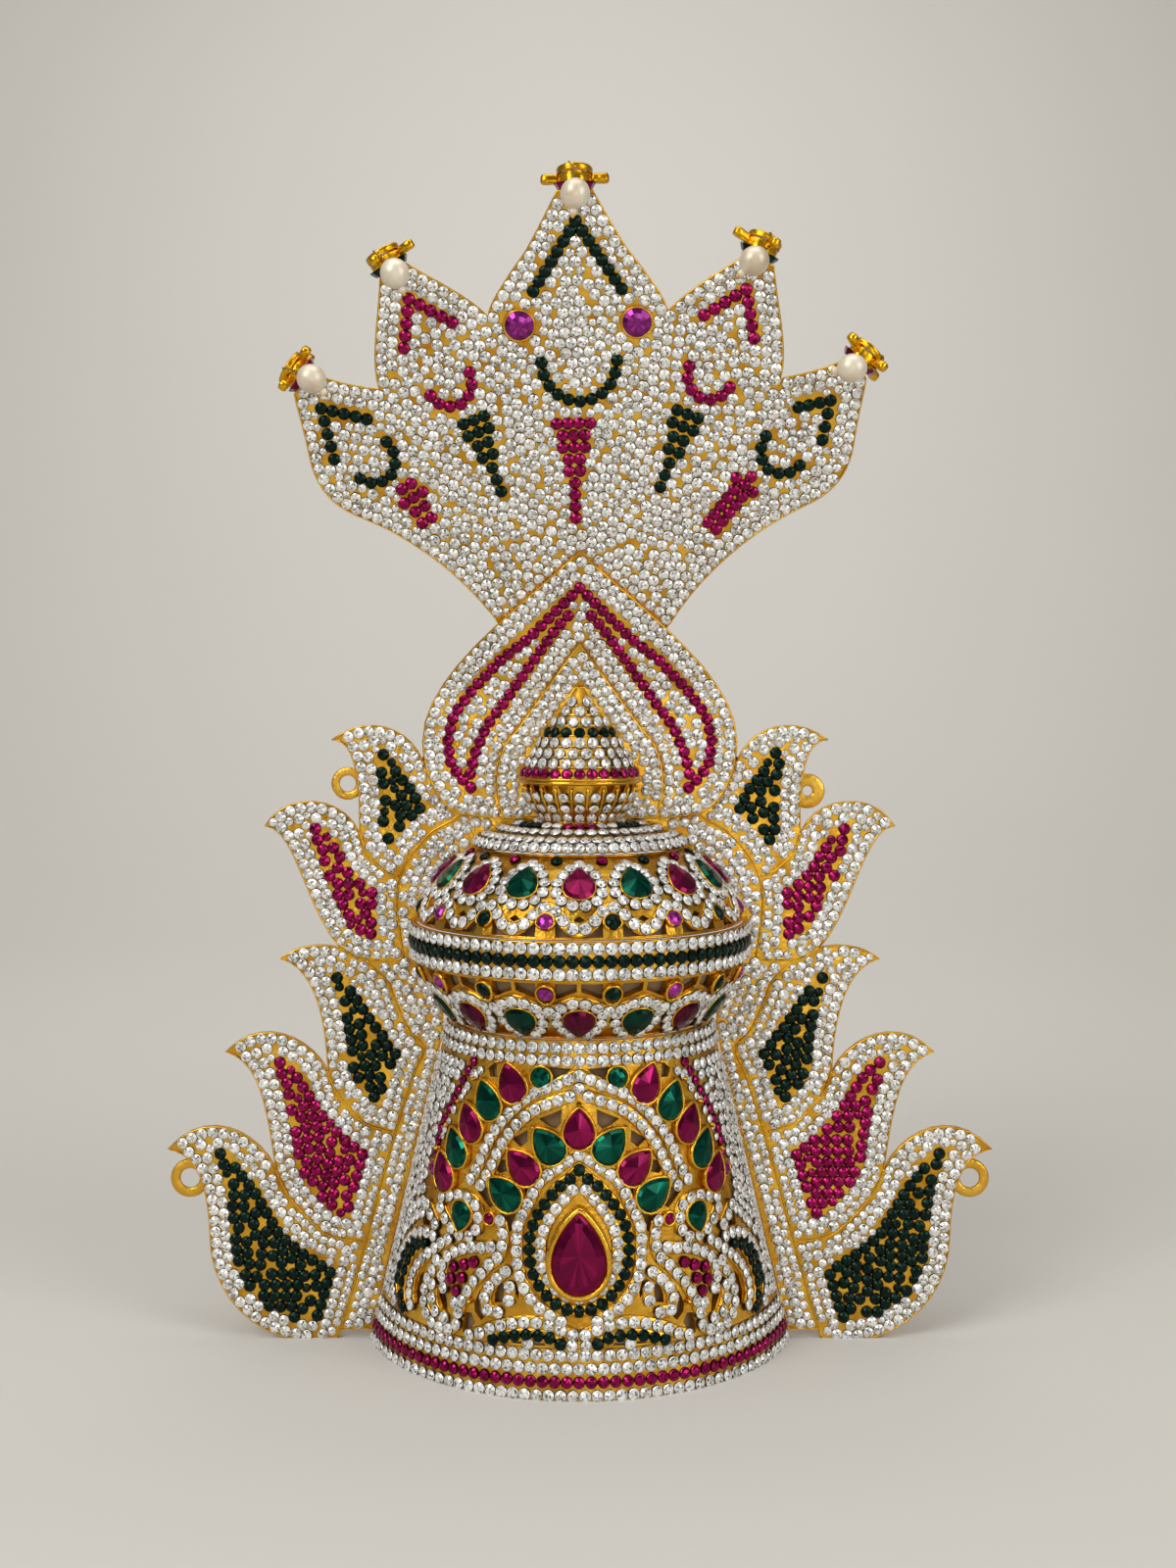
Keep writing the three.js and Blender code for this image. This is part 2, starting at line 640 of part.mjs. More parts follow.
// The rosette: a cup with a lug to each side and one behind, a ring on the lugs, and a stone
// under the cup.
function rosette() {
  const { reach, half, height } = LUGS;
  const { radius, wall, floor } = CUP;
  const bodies = [0, 1, 2].map((i) => {
    const from = radius - wall;
    const lug = new THREE.BoxGeometry(reach - from, 2 * half, height);
    lug.translate(0.5 * (reach + from), 0, 0.5 * height);
    lug.rotateZ((i / 2) * Math.PI);
    return solid(lug);
  });
  const [inside, brim] = [radius - wall, CUP.height];
  const bowl = [[0, 0], [radius, 0], [radius, brim], [inside, brim], [inside, floor], [0, floor]];
  bodies.push(turned(bowl, 16));
  const [outer, inner] = [COLLET.radius, COLLET.radius - COLLET.wall];
  const { bottom, top } = COLLET;
  const ring = [[inner, bottom], [outer, bottom], [outer, top], [inner, top], [inner, bottom]];
  bodies.push(turned(ring, 16));
  const { wide, narrow, depth, sunk } = TIP_STONE;
  const stone = [[0, -depth], [narrow, -depth], [wide, 0], [wide - sunk, sunk], [0, sunk]];
  bodies.push(turned(stone, 8));
  return join(bodies);
}

// A round wire along a few places.
function wire(places, radius, steps) {
  const path = new THREE.CatmullRomCurve3(places);
  const section = new THREE.Shape().absarc(0, 0, radius, 0, 2 * Math.PI);
  return solid(
    new THREE.ExtrudeGeometry(section, { extrudePath: path, steps, curveSegments: 3 }),
  );
}

// The pearl hangs in front of the rosette, on a wire hooked over the ring, and has a seed
// pearl under it.
const PEARL_PLACE = { drop: 3.4, forward: 10 };
const SEED = { radius: 0.9, drop: 4.5 };
const WIRE_RADIUS = 0.35;
const HOOK = [[0, -4.1, 2.9], [0, -4.7, 3.4], [0, -5.6, 2.6]];
const ROSETTE_GAP = 0.6; // air between a hood tip and the stone that sits on it

// A turn round one axis by an angle in degrees.
function turnedBy(axis, angle) {
  return new THREE.Matrix4().makeRotationAxis(axis, THREE.MathUtils.degToRad(angle));
}

const [ACROSS, DEEP, UP] = [[1, 0, 0], [0, 1, 0], [0, 0, 1]].map((row) => new THREE.Vector3(...row));

TIPS.forEach(({ x, z, turn, spin, tilt, hook, hang }, i) => {
  const outward = turnedBy(DEEP, turn - THREE.MathUtils.radToDeg(HOOD_ROLL));
  const foot = onHood(x, z).add(new THREE.Vector3(0, SHEET / 2, 0));
  const place = new THREE.Matrix4().makeTranslation(foot).multiply(outward);
  const stand = new THREE.Matrix4().makeTranslation(0, 0, ROSETTE_GAP + TIP_STONE.depth);
  const setting = place.clone().multiply(stand).multiply(turnedBy(ACROSS, -tilt));
  const casting = rosette().transform(setting.clone().multiply(turnedBy(UP, spin)).elements);
  const middle = new THREE.Vector3(0, -PEARL_PLACE.forward, -PEARL_PLACE.drop).applyMatrix4(place);
  const hooked = setting.clone().multiply(turnedBy(UP, hook));
  const bends = HOOK.map((row) => new THREE.Vector3(...row).applyMatrix4(hooked));
  const leash = bends[bends.length - 1].clone().sub(middle);
  const end = leash.setLength(PEARL_RADIUS + GAP).add(middle);
  add(`rosette_${i + 1}`, gold, casting.add(wire([...bends, end], WIRE_RADIUS, 8)));
  const ball = new THREE.SphereGeometry(PEARL_RADIUS, 12, 8);
  ball.rotateX(Math.PI / 2);
  const seed = new THREE.SphereGeometry(SEED.radius, 8, 6).translate(0, 0, -SEED.drop);
  const beads = join([solid(ball), solid(seed)]);
  const down = turnedBy(DEEP, -hang);
  down.setPosition(middle);
  add(`pearl_${i + 1}`, pearl, beads.transform(down.elements));
});

// ---------------------------------------------------------------- origin

// The origin lies under the middle of the crown, on the surface it stands on.
const bounds = new THREE.Box3().setFromObject(crown);
crown.position.set(-0.5 * (bounds.min.x + bounds.max.x), -0.5 * (bounds.min.y + bounds.max.y), 0);

export default crown;
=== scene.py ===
import math
import random

import bmesh
import bpy
import numpy as np
from mathutils import Matrix, Vector


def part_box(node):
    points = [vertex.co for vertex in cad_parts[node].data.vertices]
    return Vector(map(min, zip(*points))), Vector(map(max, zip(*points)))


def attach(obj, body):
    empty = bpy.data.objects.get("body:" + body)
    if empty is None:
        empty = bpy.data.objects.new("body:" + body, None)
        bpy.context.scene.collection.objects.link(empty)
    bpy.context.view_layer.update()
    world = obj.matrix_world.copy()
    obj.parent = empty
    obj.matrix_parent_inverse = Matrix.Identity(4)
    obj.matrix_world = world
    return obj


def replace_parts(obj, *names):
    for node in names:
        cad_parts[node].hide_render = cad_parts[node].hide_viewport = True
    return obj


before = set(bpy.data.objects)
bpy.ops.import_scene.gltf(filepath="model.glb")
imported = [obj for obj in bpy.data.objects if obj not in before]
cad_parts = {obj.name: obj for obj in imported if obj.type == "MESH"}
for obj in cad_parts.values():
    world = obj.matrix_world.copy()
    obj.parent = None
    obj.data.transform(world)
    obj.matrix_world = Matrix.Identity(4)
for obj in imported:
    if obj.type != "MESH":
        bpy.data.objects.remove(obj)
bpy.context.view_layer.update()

# ---------------------------------------------------------------- camera, floor and light
# A level camera in front of the crown, a little above its bulge, a pale sweep that is floor
# and backdrop in one, and large soft lamps.

CAMERA_PLACE = (0.0023, -0.4868, 0.187)
CAMERA_LENS, CAMERA_SHIFT = 42.08, -0.0688
FLOOR_HALF_WIDTH = 2.6
# The sweep from the front edge to the top: how far back, and height.
SWEEP = [
    (-1.6, -0.0002), (0.55, -0.0002), (0.8, 0.012), (1.0, 0.07), (1.15, 0.2), (1.22, 0.4),
    (1.24, 2.6),
]

camera = bpy.data.objects.new("camera", bpy.data.cameras.new("camera"))
camera.data.sensor_fit = "VERTICAL"
camera.data.sensor_height = 36
camera.data.lens = CAMERA_LENS
camera.data.shift_y = CAMERA_SHIFT
camera.data.clip_start = 0.01
camera.location = CAMERA_PLACE
camera.rotation_euler = (math.radians(90), 0, 0)
bpy.context.scene.collection.objects.link(camera)
bpy.context.scene.camera = camera


def plain_paint(name, color, roughness):
    """A matt surface with a faint cloudiness, for the sweep."""
    paint = bpy.data.materials.new(name)
    paint.use_nodes = True
    nodes, links = paint.node_tree.nodes, paint.node_tree.links
    shader = nodes["Principled BSDF"]
    shader.inputs["Roughness"].default_value = roughness
    cloud = nodes.new("ShaderNodeTexNoise")
    cloud.inputs["Scale"].default_value = 3
    tint = nodes.new("ShaderNodeValToRGB")
    tint.color_ramp.elements[0].color = [c * 0.96 for c in color] + [1]
    tint.color_ramp.elements[1].color = [*color, 1]
    place = nodes.new("ShaderNodeTexCoord")
    links.new(place.outputs["Object"], cloud.inputs["Vector"])
    links.new(cloud.outputs["Fac"], tint.inputs["Fac"])
    links.new(tint.outputs["Color"], shader.inputs["Base Color"])
    return paint


sweep = bmesh.new()
edge = [sweep.verts.new((-FLOOR_HALF_WIDTH, y, z)) for y, z in SWEEP]
sweep_edges = [sweep.edges.new(pair) for pair in zip(edge, edge[1:])]
pulled = bmesh.ops.extrude_edge_only(sweep, edges=sweep_edges)
bmesh.ops.translate(
    sweep,
    vec=(2 * FLOOR_HALF_WIDTH, 0, 0),
    verts=[v for v in pulled["geom"] if isinstance(v, bmesh.types.BMVert)],
)
bmesh.ops.recalc_face_normals(sweep, faces=sweep.faces)
sweep_mesh = bpy.data.meshes.new("backdrop")
sweep.to_mesh(sweep_mesh)
sweep.free()
for polygon in sweep_mesh.polygons:
    polygon.use_smooth = True
backdrop = bpy.data.objects.new("backdrop", sweep_mesh)
bpy.context.scene.collection.objects.link(backdrop)
backdrop.modifiers.new("round", "SUBSURF").levels = 2
backdrop.modifiers["round"].render_levels = 2
backdrop.data.materials.append(plain_paint("pale_paper", (0.7, 0.67, 0.61), 0.9))

LAMPS = [
    # name, place, aim, width, height, power in watts
    ("key_lamp", (-0.75, -0.9, 0.95), (0, 0, 0.17), 0.7, 0.9, 9),
    ("fill_lamp", (0.95, -0.75, 0.55), (0, 0, 0.15), 0.6, 0.9, 5),
    ("top_lamp", (0, -0.1, 1.2), (0, 0, 0.15), 1.0, 0.8, 5),
    ("front_lamp", (0.1, -1.3, 0.1), (0, 0, 0.12), 0.5, 0.4, 1.5),
    ("glow_lamp", (0, 0.45, 0.75), (0, 1.24, 0.42), 0.5, 0.5, 2),
]
for name, place, aim, width, height, power in LAMPS:
    lamp = bpy.data.lights.new(name, "AREA")
    lamp.shape = "RECTANGLE"
    lamp.size, lamp.size_y, lamp.energy = width, height, power
    holder = bpy.data.objects.new(name, lamp)
    holder.location = place
    holder.rotation_euler = (Vector(aim) - Vector(place)).to_track_quat("-Z", "Y").to_euler()
    bpy.context.scene.collection.objects.link(holder)

world = bpy.data.worlds.new("studio")
world.use_nodes = True
world.node_tree.nodes["Background"].inputs["Color"].default_value = (0.93, 0.95, 1, 1)
world.node_tree.nodes["Background"].inputs["Strength"].default_value = 0.24
bpy.context.scene.world = world
bpy.context.scene.view_settings.view_transform = "Standard"

# ---------------------------------------------------------------- base band
# The rim that the crown stands on: a gilded strip bent into a shallow arc, with four rows of
# small flat-backed stones glued on it. It also shows how the whole crown is gilded.

PLATE_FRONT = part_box("flank_plate_left")[0].y  # the plane that the flank plates face
MM = 0.001
STONE = 3.2  # diameter of a small stone
PITCH = 3.14  # from one small stone to the next in a row
RIM_HALF, RIM_DEPTH = 58.8, 44.8  # the body's section at the rim
NECK_HALF, NECK_DEPTH, NECK_Z = 38, 37, 87  # and at the neck
BAND_END = 1.8  # from the last stone of a row to the body's side
BAND_ROWS = [("clear", 2.15), ("ruby", 5.5), ("clear", 8.85), ("clear", 12.2)]
GOLD = (0.92, 0.54, 0.06)
GOLD_DEEP = (0.44, 0.18, 0.01)


def gilding_group():
    """Cast and gilded metal: cloudy tone, dull and bright patches, and a fine orange-peel skin."""
    group = bpy.data.node_groups.new("cast_gilding", "ShaderNodeTree")
    face = group.interface
    for name, kind, value in [
        ("Gold", "NodeSocketColor", (*GOLD, 1)),
        ("Deep", "NodeSocketColor", (*GOLD_DEEP, 1)),
        ("Dull", "NodeSocketFloat", 0.3),
        ("Grain", "NodeSocketFloat", 0.35),
    ]:
        face.new_socket(name=name, in_out="INPUT", socket_type=kind).default_value = value
    face.new_socket(name="Color", in_out="OUTPUT", socket_type="NodeSocketColor")
    face.new_socket(name="Roughness", in_out="OUTPUT", socket_type="NodeSocketFloat")
    face.new_socket(name="Normal", in_out="OUTPUT", socket_type="NodeSocketVector")
    nodes, links = group.nodes, group.links
    given = nodes.new("NodeGroupInput")
    out = nodes.new("NodeGroupOutput")
    place = nodes.new("ShaderNodeTexCoord")

    def noise(scale, detail):
        node = nodes.new("ShaderNodeTexNoise")
        node.inputs["Scale"].default_value = scale
        node.inputs["Detail"].default_value = detail
        links.new(place.outputs["Object"], node.inputs["Vector"])
        return node.outputs["Fac"]

    def ranged(value, low, high, to_low, to_high):
        node = nodes.new("ShaderNodeMapRange")
        for socket, number in zip(node.inputs[1:5], (low, high, to_low, to_high)):
            socket.default_value = number
        links.new(value, node.inputs[0])
        return node.outputs[0]

    tone = nodes.new("ShaderNodeMix")
    tone.data_type = "RGBA"
    links.new(ranged(noise(120, 4), 0.26, 0.76, 0, 1), tone.inputs["Factor"])
    links.new(given.outputs["Deep"], tone.inputs[6])
    links.new(given.outputs["Gold"], tone.inputs[7])
    links.new(tone.outputs[2], out.inputs["Color"])
    rough = nodes.new("ShaderNodeMath")
    rough.operation = "ADD"
    links.new(ranged(noise(220, 3), 0.3, 0.7, -0.09, 0.14), rough.inputs[0])
    links.new(given.outputs["Dull"], rough.inputs[1])
    links.new(rough.outputs[0], out.inputs["Roughness"])
    bump = nodes.new("ShaderNodeBump")
    bump.inputs["Distance"].default_value = 0.0006
    links.new(given.outputs["Grain"], bump.inputs["Strength"])
    links.new(noise(700, 3), bump.inputs["Height"])
    links.new(bump.outputs["Normal"], out.inputs["Normal"])
    return group


CAST_GILDING = gilding_group()


def gilding(name, gold=GOLD, deep=GOLD_DEEP, dull=0.3, grain=0.35):
    """A metal finish from the cast_gilding group."""
    metal = bpy.data.materials.new(name)
    metal.use_nodes = True
    nodes, links = metal.node_tree.nodes, metal.node_tree.links
    shader = nodes["Principled BSDF"]
    shader.inputs["Metallic"].default_value = 1
    skin = nodes.new("ShaderNodeGroup")
    skin.node_tree = CAST_GILDING
    skin.inputs["Gold"].default_value = (*gold, 1)
    skin.inputs["Deep"].default_value = (*deep, 1)
    skin.inputs["Dull"].default_value = dull
    skin.inputs["Grain"].default_value = grain
    links.new(skin.outputs["Color"], shader.inputs["Base Color"])
    links.new(skin.outputs["Roughness"], shader.inputs["Roughness"])
    links.new(skin.outputs["Normal"], shader.inputs["Normal"])
    return metal


GILT_SHEET = gilding("gilt_sheet")
GILT_RELIEF = gilding(
    "gilt_relief", gold=(0.88, 0.52, 0.055), deep=(0.58, 0.27, 0.015), dull=0.22, grain=0.2
)


def gild(*names):
    """Gives CAD nodes the finish of gilded sheet."""
    for name in names:
        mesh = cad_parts[name].data
        mesh.materials.clear()
        mesh.materials.append(GILT_SHEET)


def glassy(name, dark, middle, bright, metallic, roughness, coat):
    """Foil-backed glass: each facet has its own tone, kept in the mesh; the tones are painted glints
    and painted reflections, lighter and darker facets in place of the light that the stones catch.
    """
    glass = bpy.data.materials.new(name)
    glass.use_nodes = True
    nodes, links = glass.node_tree.nodes, glass.node_tree.links
    shader = nodes["Principled BSDF"]
    shader.inputs["Metallic"].default_value = metallic
    shader.inputs["Coat Weight"].default_value = coat
    shader.inputs["Coat Roughness"].default_value = 0.04
    tone = nodes.new("ShaderNodeAttribute")
    tone.attribute_name = "tone"
    split = nodes.new("ShaderNodeSeparateColor")
    links.new(tone.outputs["Color"], split.inputs[0])
    # Painted glints and reflections: a facet's tone picks its colour between a dark reflection and a
    # bright glint.
    ramp = nodes.new("ShaderNodeValToRGB")
    ramp.color_ramp.elements[0].color = (*dark, 1)
    ramp.color_ramp.elements[1].color = (*bright, 1)
    ramp.color_ramp.elements.new(0.5).color = (*middle, 1)
    links.new(split.outputs[0], ramp.inputs["Fac"])
    links.new(ramp.outputs["Color"], shader.inputs["Base Color"])
    place = nodes.new("ShaderNodeTexCoord")
    smear = nodes.new("ShaderNodeTexNoise")
    smear.inputs["Scale"].default_value = 260
    links.new(place.outputs["Object"], smear.inputs["Vector"])
    haze = nodes.new("ShaderNodeMapRange")
    haze.inputs["To Min"].default_value = roughness
    haze.inputs["To Max"].default_value = roughness + 0.14
    links.new(smear.outputs["Fac"], haze.inputs["Value"])
    links.new(haze.outputs[0], shader.inputs["Roughness"])
    return glass


GLASS = {
    "clear": glassy(
        "clear_glass", (0.07, 0.06, 0.045), (0.46, 0.44, 0.38), (0.98, 0.97, 0.93), 0.35, 0.08, 0.3
    ),
    "ruby": glassy(
        "ruby_glass", (0.045, 0, 0.012), (0.16, 0.001, 0.038), (0.36, 0.004, 0.09), 0.85, 0.1, 0.05
    ),
    "emerald": glassy(
        "dark_emerald_glass", (0, 0.002, 0.001), (0.0003, 0.006, 0.0035),
        (0.0007, 0.02, 0.011), 0.85, 0.2, 0.1,
    ),
    "green": glassy(
        "green_glass", (0, 0.015, 0.009), (0.0003, 0.05, 0.03), (0.001, 0.13, 0.075), 0.9, 0.1, 0.03
    ),
    "violet": glassy(
        "violet_glass", (0.05, 0, 0.045), (0.17, 0.003, 0.13), (0.38, 0.025, 0.29), 0.7, 0.1, 0.2
    ),
}


def body_section(z):
    """Radius of the body's wall at a height, and how far behind the plates' front its centre is."""
    t = z / NECK_Z
    half = RIM_HALF + (NECK_HALF - RIM_HALF) * t
    depth = RIM_DEPTH + (NECK_DEPTH - RIM_DEPTH) * t
    radius = (half**2 + depth**2) / (2 * depth)
    return radius, radius - depth, radius * math.asin(min(1, half / radius))


def on_body(u, z, out=0):
    """A place on the body: along its arc from the middle, its height, and out from the wall."""
    radius, centre, _ = body_section(z)
    r = radius + out
    return Vector((r * math.sin(u / radius), centre - r * math.cos(u / radius), z))


def seat(surface, a, b, out=0):
    """The place of a stone on a surface, turned to stand on it."""
    step = 0.05
    here = surface(a, b, out)
    across = (surface(a + step, b, out) - surface(a - step, b, out)).normalized()
    up = surface(a, b + step, out) - surface(a, b - step, out)
    normal = across.cross(up).normalized()
    up = normal.cross(across)
    return Matrix(
        (
            (across.x, up.x, normal.x, here.x),
            (across.y, up.y, normal.y, here.y),
            (across.z, up.z, normal.z, here.z),
            (0, 0, 0, 1),
        )
    )


def along(points, pitch, surface, closed=False, ends=True):
    """Places at an even pitch along a line drawn on a surface."""
    line = list(points) + ([points[0]] if closed else [])
    fine = []
    for (a0, b0), (a1, b1) in zip(line, line[1:]):
        fine += [(a0 + (a1 - a0) * i / 12, b0 + (b1 - b0) * i / 12) for i in range(12)]
    fine.append(line[-1])
    spots = [surface(a, b, 0) for a, b in fine]
    run = np.concatenate([[0], np.cumsum([(q - p).length for p, q in zip(spots, spots[1:])])])
    gaps = max(1, round(run[-1] / pitch))
    count = gaps if closed else gaps + 1
    wanted = np.arange(count) * run[-1] / gaps
    if not ends:
        wanted = wanted[:-1] + 0.5 * run[-1] / gaps
    a, b = np.array(fine).T
    return list(zip(np.interp(wanted, run, a), np.interp(wanted, run, b)))


def small_stone():
    """One flat-backed stone of unit width: girdle, rim, sloping crown and a table of wedges."""
    foot, shoulder, girdle = 0.515, 0.474, 0.14  # two radii and a height
    cut = bmesh.new()
    bmesh.ops.create_cone(
        cut, cap_ends=True, segments=12, radius1=foot, radius2=shoulder, depth=girdle
    )
    bmesh.ops.translate(cut, vec=(0, 0, girdle / 2), verts=cut.verts)
    table = [f for f in cut.faces if f.normal.z > 0.9]
    bmesh.ops.inset_region(cut, faces=table, thickness=0.05, depth=0.05)
    rim = {f for f in cut.faces if 0.3 < f.normal.z < 0.9}
    bmesh.ops.inset_region(cut, faces=table, thickness=0.16, depth=0.1)
    bmesh.ops.poke(cut, faces=table, offset=0.03)
    points = np.array([v.co[:] for v in cut.verts])
    faces = [[v.index for v in f.verts] for f in cut.faces]
    kinds = []
    for f in cut.faces:
        height = f.calc_center_median().z
        above = "rim" if f in rim else "crown" if height > 0.2 else "side"
        kinds.append("table" if height > 0.28 else above)
    cut.free()
    return points, faces, kinds


STONE_SHAPE = small_stone()
# Painted glints and painted reflections of the small stones: each facet draws a tone from these, with
# its chance.
STONE_GLINT_TONES = {
    "table": ([1, 0.78, 0.48, 0.12], [0.42, 0.28, 0.19, 0.11]),
    "crown": ([1, 0.8, 0.5, 0.15], [0.42, 0.3, 0.18, 0.1]),
    "rim": ([1, 0.8, 0.6], [0.6, 0.28, 0.12]),
    # painted shade round the girdle, where a stone meets its seat
    "side": ([0.14, 0.02], [0.4, 0.6]),
}
STONE_LEAN = 0.05  # how far stones lean on their glue, in radians
TO_CROWN = Matrix.Scale(MM, 4) @ Matrix.Translation((0, PLATE_FRONT / MM, 0))


def place_piece(name, mesh, material, smooth=False):
    """Makes a piece from a mesh in millimetres, and fixes it to the crown."""
    mesh.transform(TO_CROWN)
    mesh.materials.append(material)
    mesh.polygons.foreach_set("use_smooth", [smooth] * len(mesh.polygons))
    piece = bpy.data.objects.new(name, mesh)
    bpy.context.scene.collection.objects.link(piece)
    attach(piece, "root")
    return piece


def paint_tones(mesh, tones):
    """Keeps one tone for each face: the painted glints, reflections and shade of the facets."""
    layer = mesh.color_attributes.new("tone", "FLOAT_COLOR", "CORNER")
    sizes = [p.loop_total for p in mesh.polygons]
    values = np.repeat(np.clip(tones, 0, 1), sizes)
    layer.data.foreach_set("color", np.stack([values, values, values, np.ones_like(values)], 1).ravel())


def set_stones(name, kind, seats, seed):
    """Sets small stones of one kind on their seats, (matrix, diameter), as one piece."""
    points, faces, kinds = STONE_SHAPE
    draw = np.random.default_rng(seed)
    count = len(points)
    corners = []
    for matrix, diameter in seats:
        turn = Matrix.Rotation(draw.uniform(0, 2 * math.pi), 4, "Z")
        lean = Matrix.Rotation(draw.normal(0, STONE_LEAN), 4, "X")
        lean = lean @ Matrix.Rotation(draw.normal(0, STONE_LEAN), 4, "Y")
        whole = np.array(matrix @ lean @ turn @ Matrix.Scale(diameter, 4))
        corners.append(points @ whole[:3, :3].T + whole[:3, 3])
    mesh = bpy.data.meshes.new(name)
    all_faces = [[i + k * count for i in face] for k in range(len(seats)) for face in faces]
    mesh.from_pydata(np.concatenate(corners).tolist(), [], all_faces)
    tones = []
    # Painted glints, reflections and shade: a random tone for each facet, and each stone a little
    # lighter or darker as a whole.
    for _ in seats:
        whole = draw.uniform(0.82, 1.06)
        for facet in kinds:
            values, chances = STONE_GLINT_TONES[facet]
            tones.append(whole * draw.choice(values, p=chances) + draw.normal(0, 0.03))
    paint_tones(mesh, tones)
    return place_piece(name, mesh, GLASS[kind])


gild("base_band", "body_shell", "belt_ring", "bulge_bowl", "bulge_dome", "lotus_collar")
gild("finial_gallery", "finial_spire", "heart_plate", "inner_arch", "hood_plate")
gild("flank_plate_left", "flank_plate_right")
gild("tie_loop_upper_left", "tie_loop_upper_right", "tie_loop_lower_left", "tie_loop_lower_right")

band_seats = {"clear": [], "ruby": []}
for kind, z in BAND_ROWS:
    reach = body_section(z)[2] - BAND_END
    for u, height in along([(-reach, z), (reach, z)], PITCH, on_body):
        band_seats[kind].append((seat(on_body, u, height), STONE))
set_stones("band_clear_stones", "clear", band_seats["clear"], 11)
set_stones("band_ruby_stones", "ruby", band_seats["ruby"], 12)


# ---------------------------------------------------------------- body
# A pierced half-cone cast in one with its bezels, arch, pointed ring and two swans. Faceted
# pear stones sit in smooth bezels, and rows of small stones follow the raised strips.

SMALL, TINY = 2.5, 2.1  # diameter of the stones that fill small holes
PRESSED = 0.22  # how far the feet of two stones may be pressed together
SEAM_GAP = 0.2  # from a seam to the stones beside it
FIELD_STEP = 0.28  # of the grid that a field is paved on
INWARD = 0.1  # how strongly a field is paved from its edges inwards
STRIP = 0.6  # height of the raised strips over the wall
PEAR_SIZE, SWAN_PEAR_SIZE, CENTRE_PEAR_SIZE = (7.9, 10.5), (6.6, 8), (13.8, 21)
PEAR_TAPER = 0.7  # how pointed a pear-cut stone is
MIDDLE_PEAR_Z, CENTRE_PEAR_Z = 69.6, 38.2
SWAN_PEAR = (33.1, 44.4, 168)  # place on the body, and turn from upright in degrees
PINK_STONE, PINK_PITCH = 2.9, 3.2
SIDE_END, SIDE_COLUMNS = 2, (1.6, 4.4)  # from the body's side to the paving, and its columns
SIDE_FOOT, SIDE_TOP = 15.2, 84.2
NECK_ROWS = (86.6, 89.9)
INSIDE, CARD = -2.2, 0.3  # where the dark card of painted shade behind a pierced wall lies, and its thickness
# Pear stones of the right half: kind, place on the body, and turn from upright in degrees.
PEARS = [
    ("green", 8.1, 65.2, 38), ("ruby", 14.9, 59.4, 44), ("green", 19.9, 52.2, 52),
    ("ruby", 18, 80.4, 18), ("green", 25.4, 75.2, 22), ("ruby", 31.2, 68.6, 22),
    ("green", 36.2, 61.4, 22), ("ruby", 40.8, 54.4, 20),
]
PEAR_NODES = [
    f"{group}_{side}_{i}"
    for side in ("left", "right")
    for group, numbers in (("fan_pear", (2, 3, 4)), ("outer_pear", (1, 2, 3, 4, 5)))
    for i in numbers
]
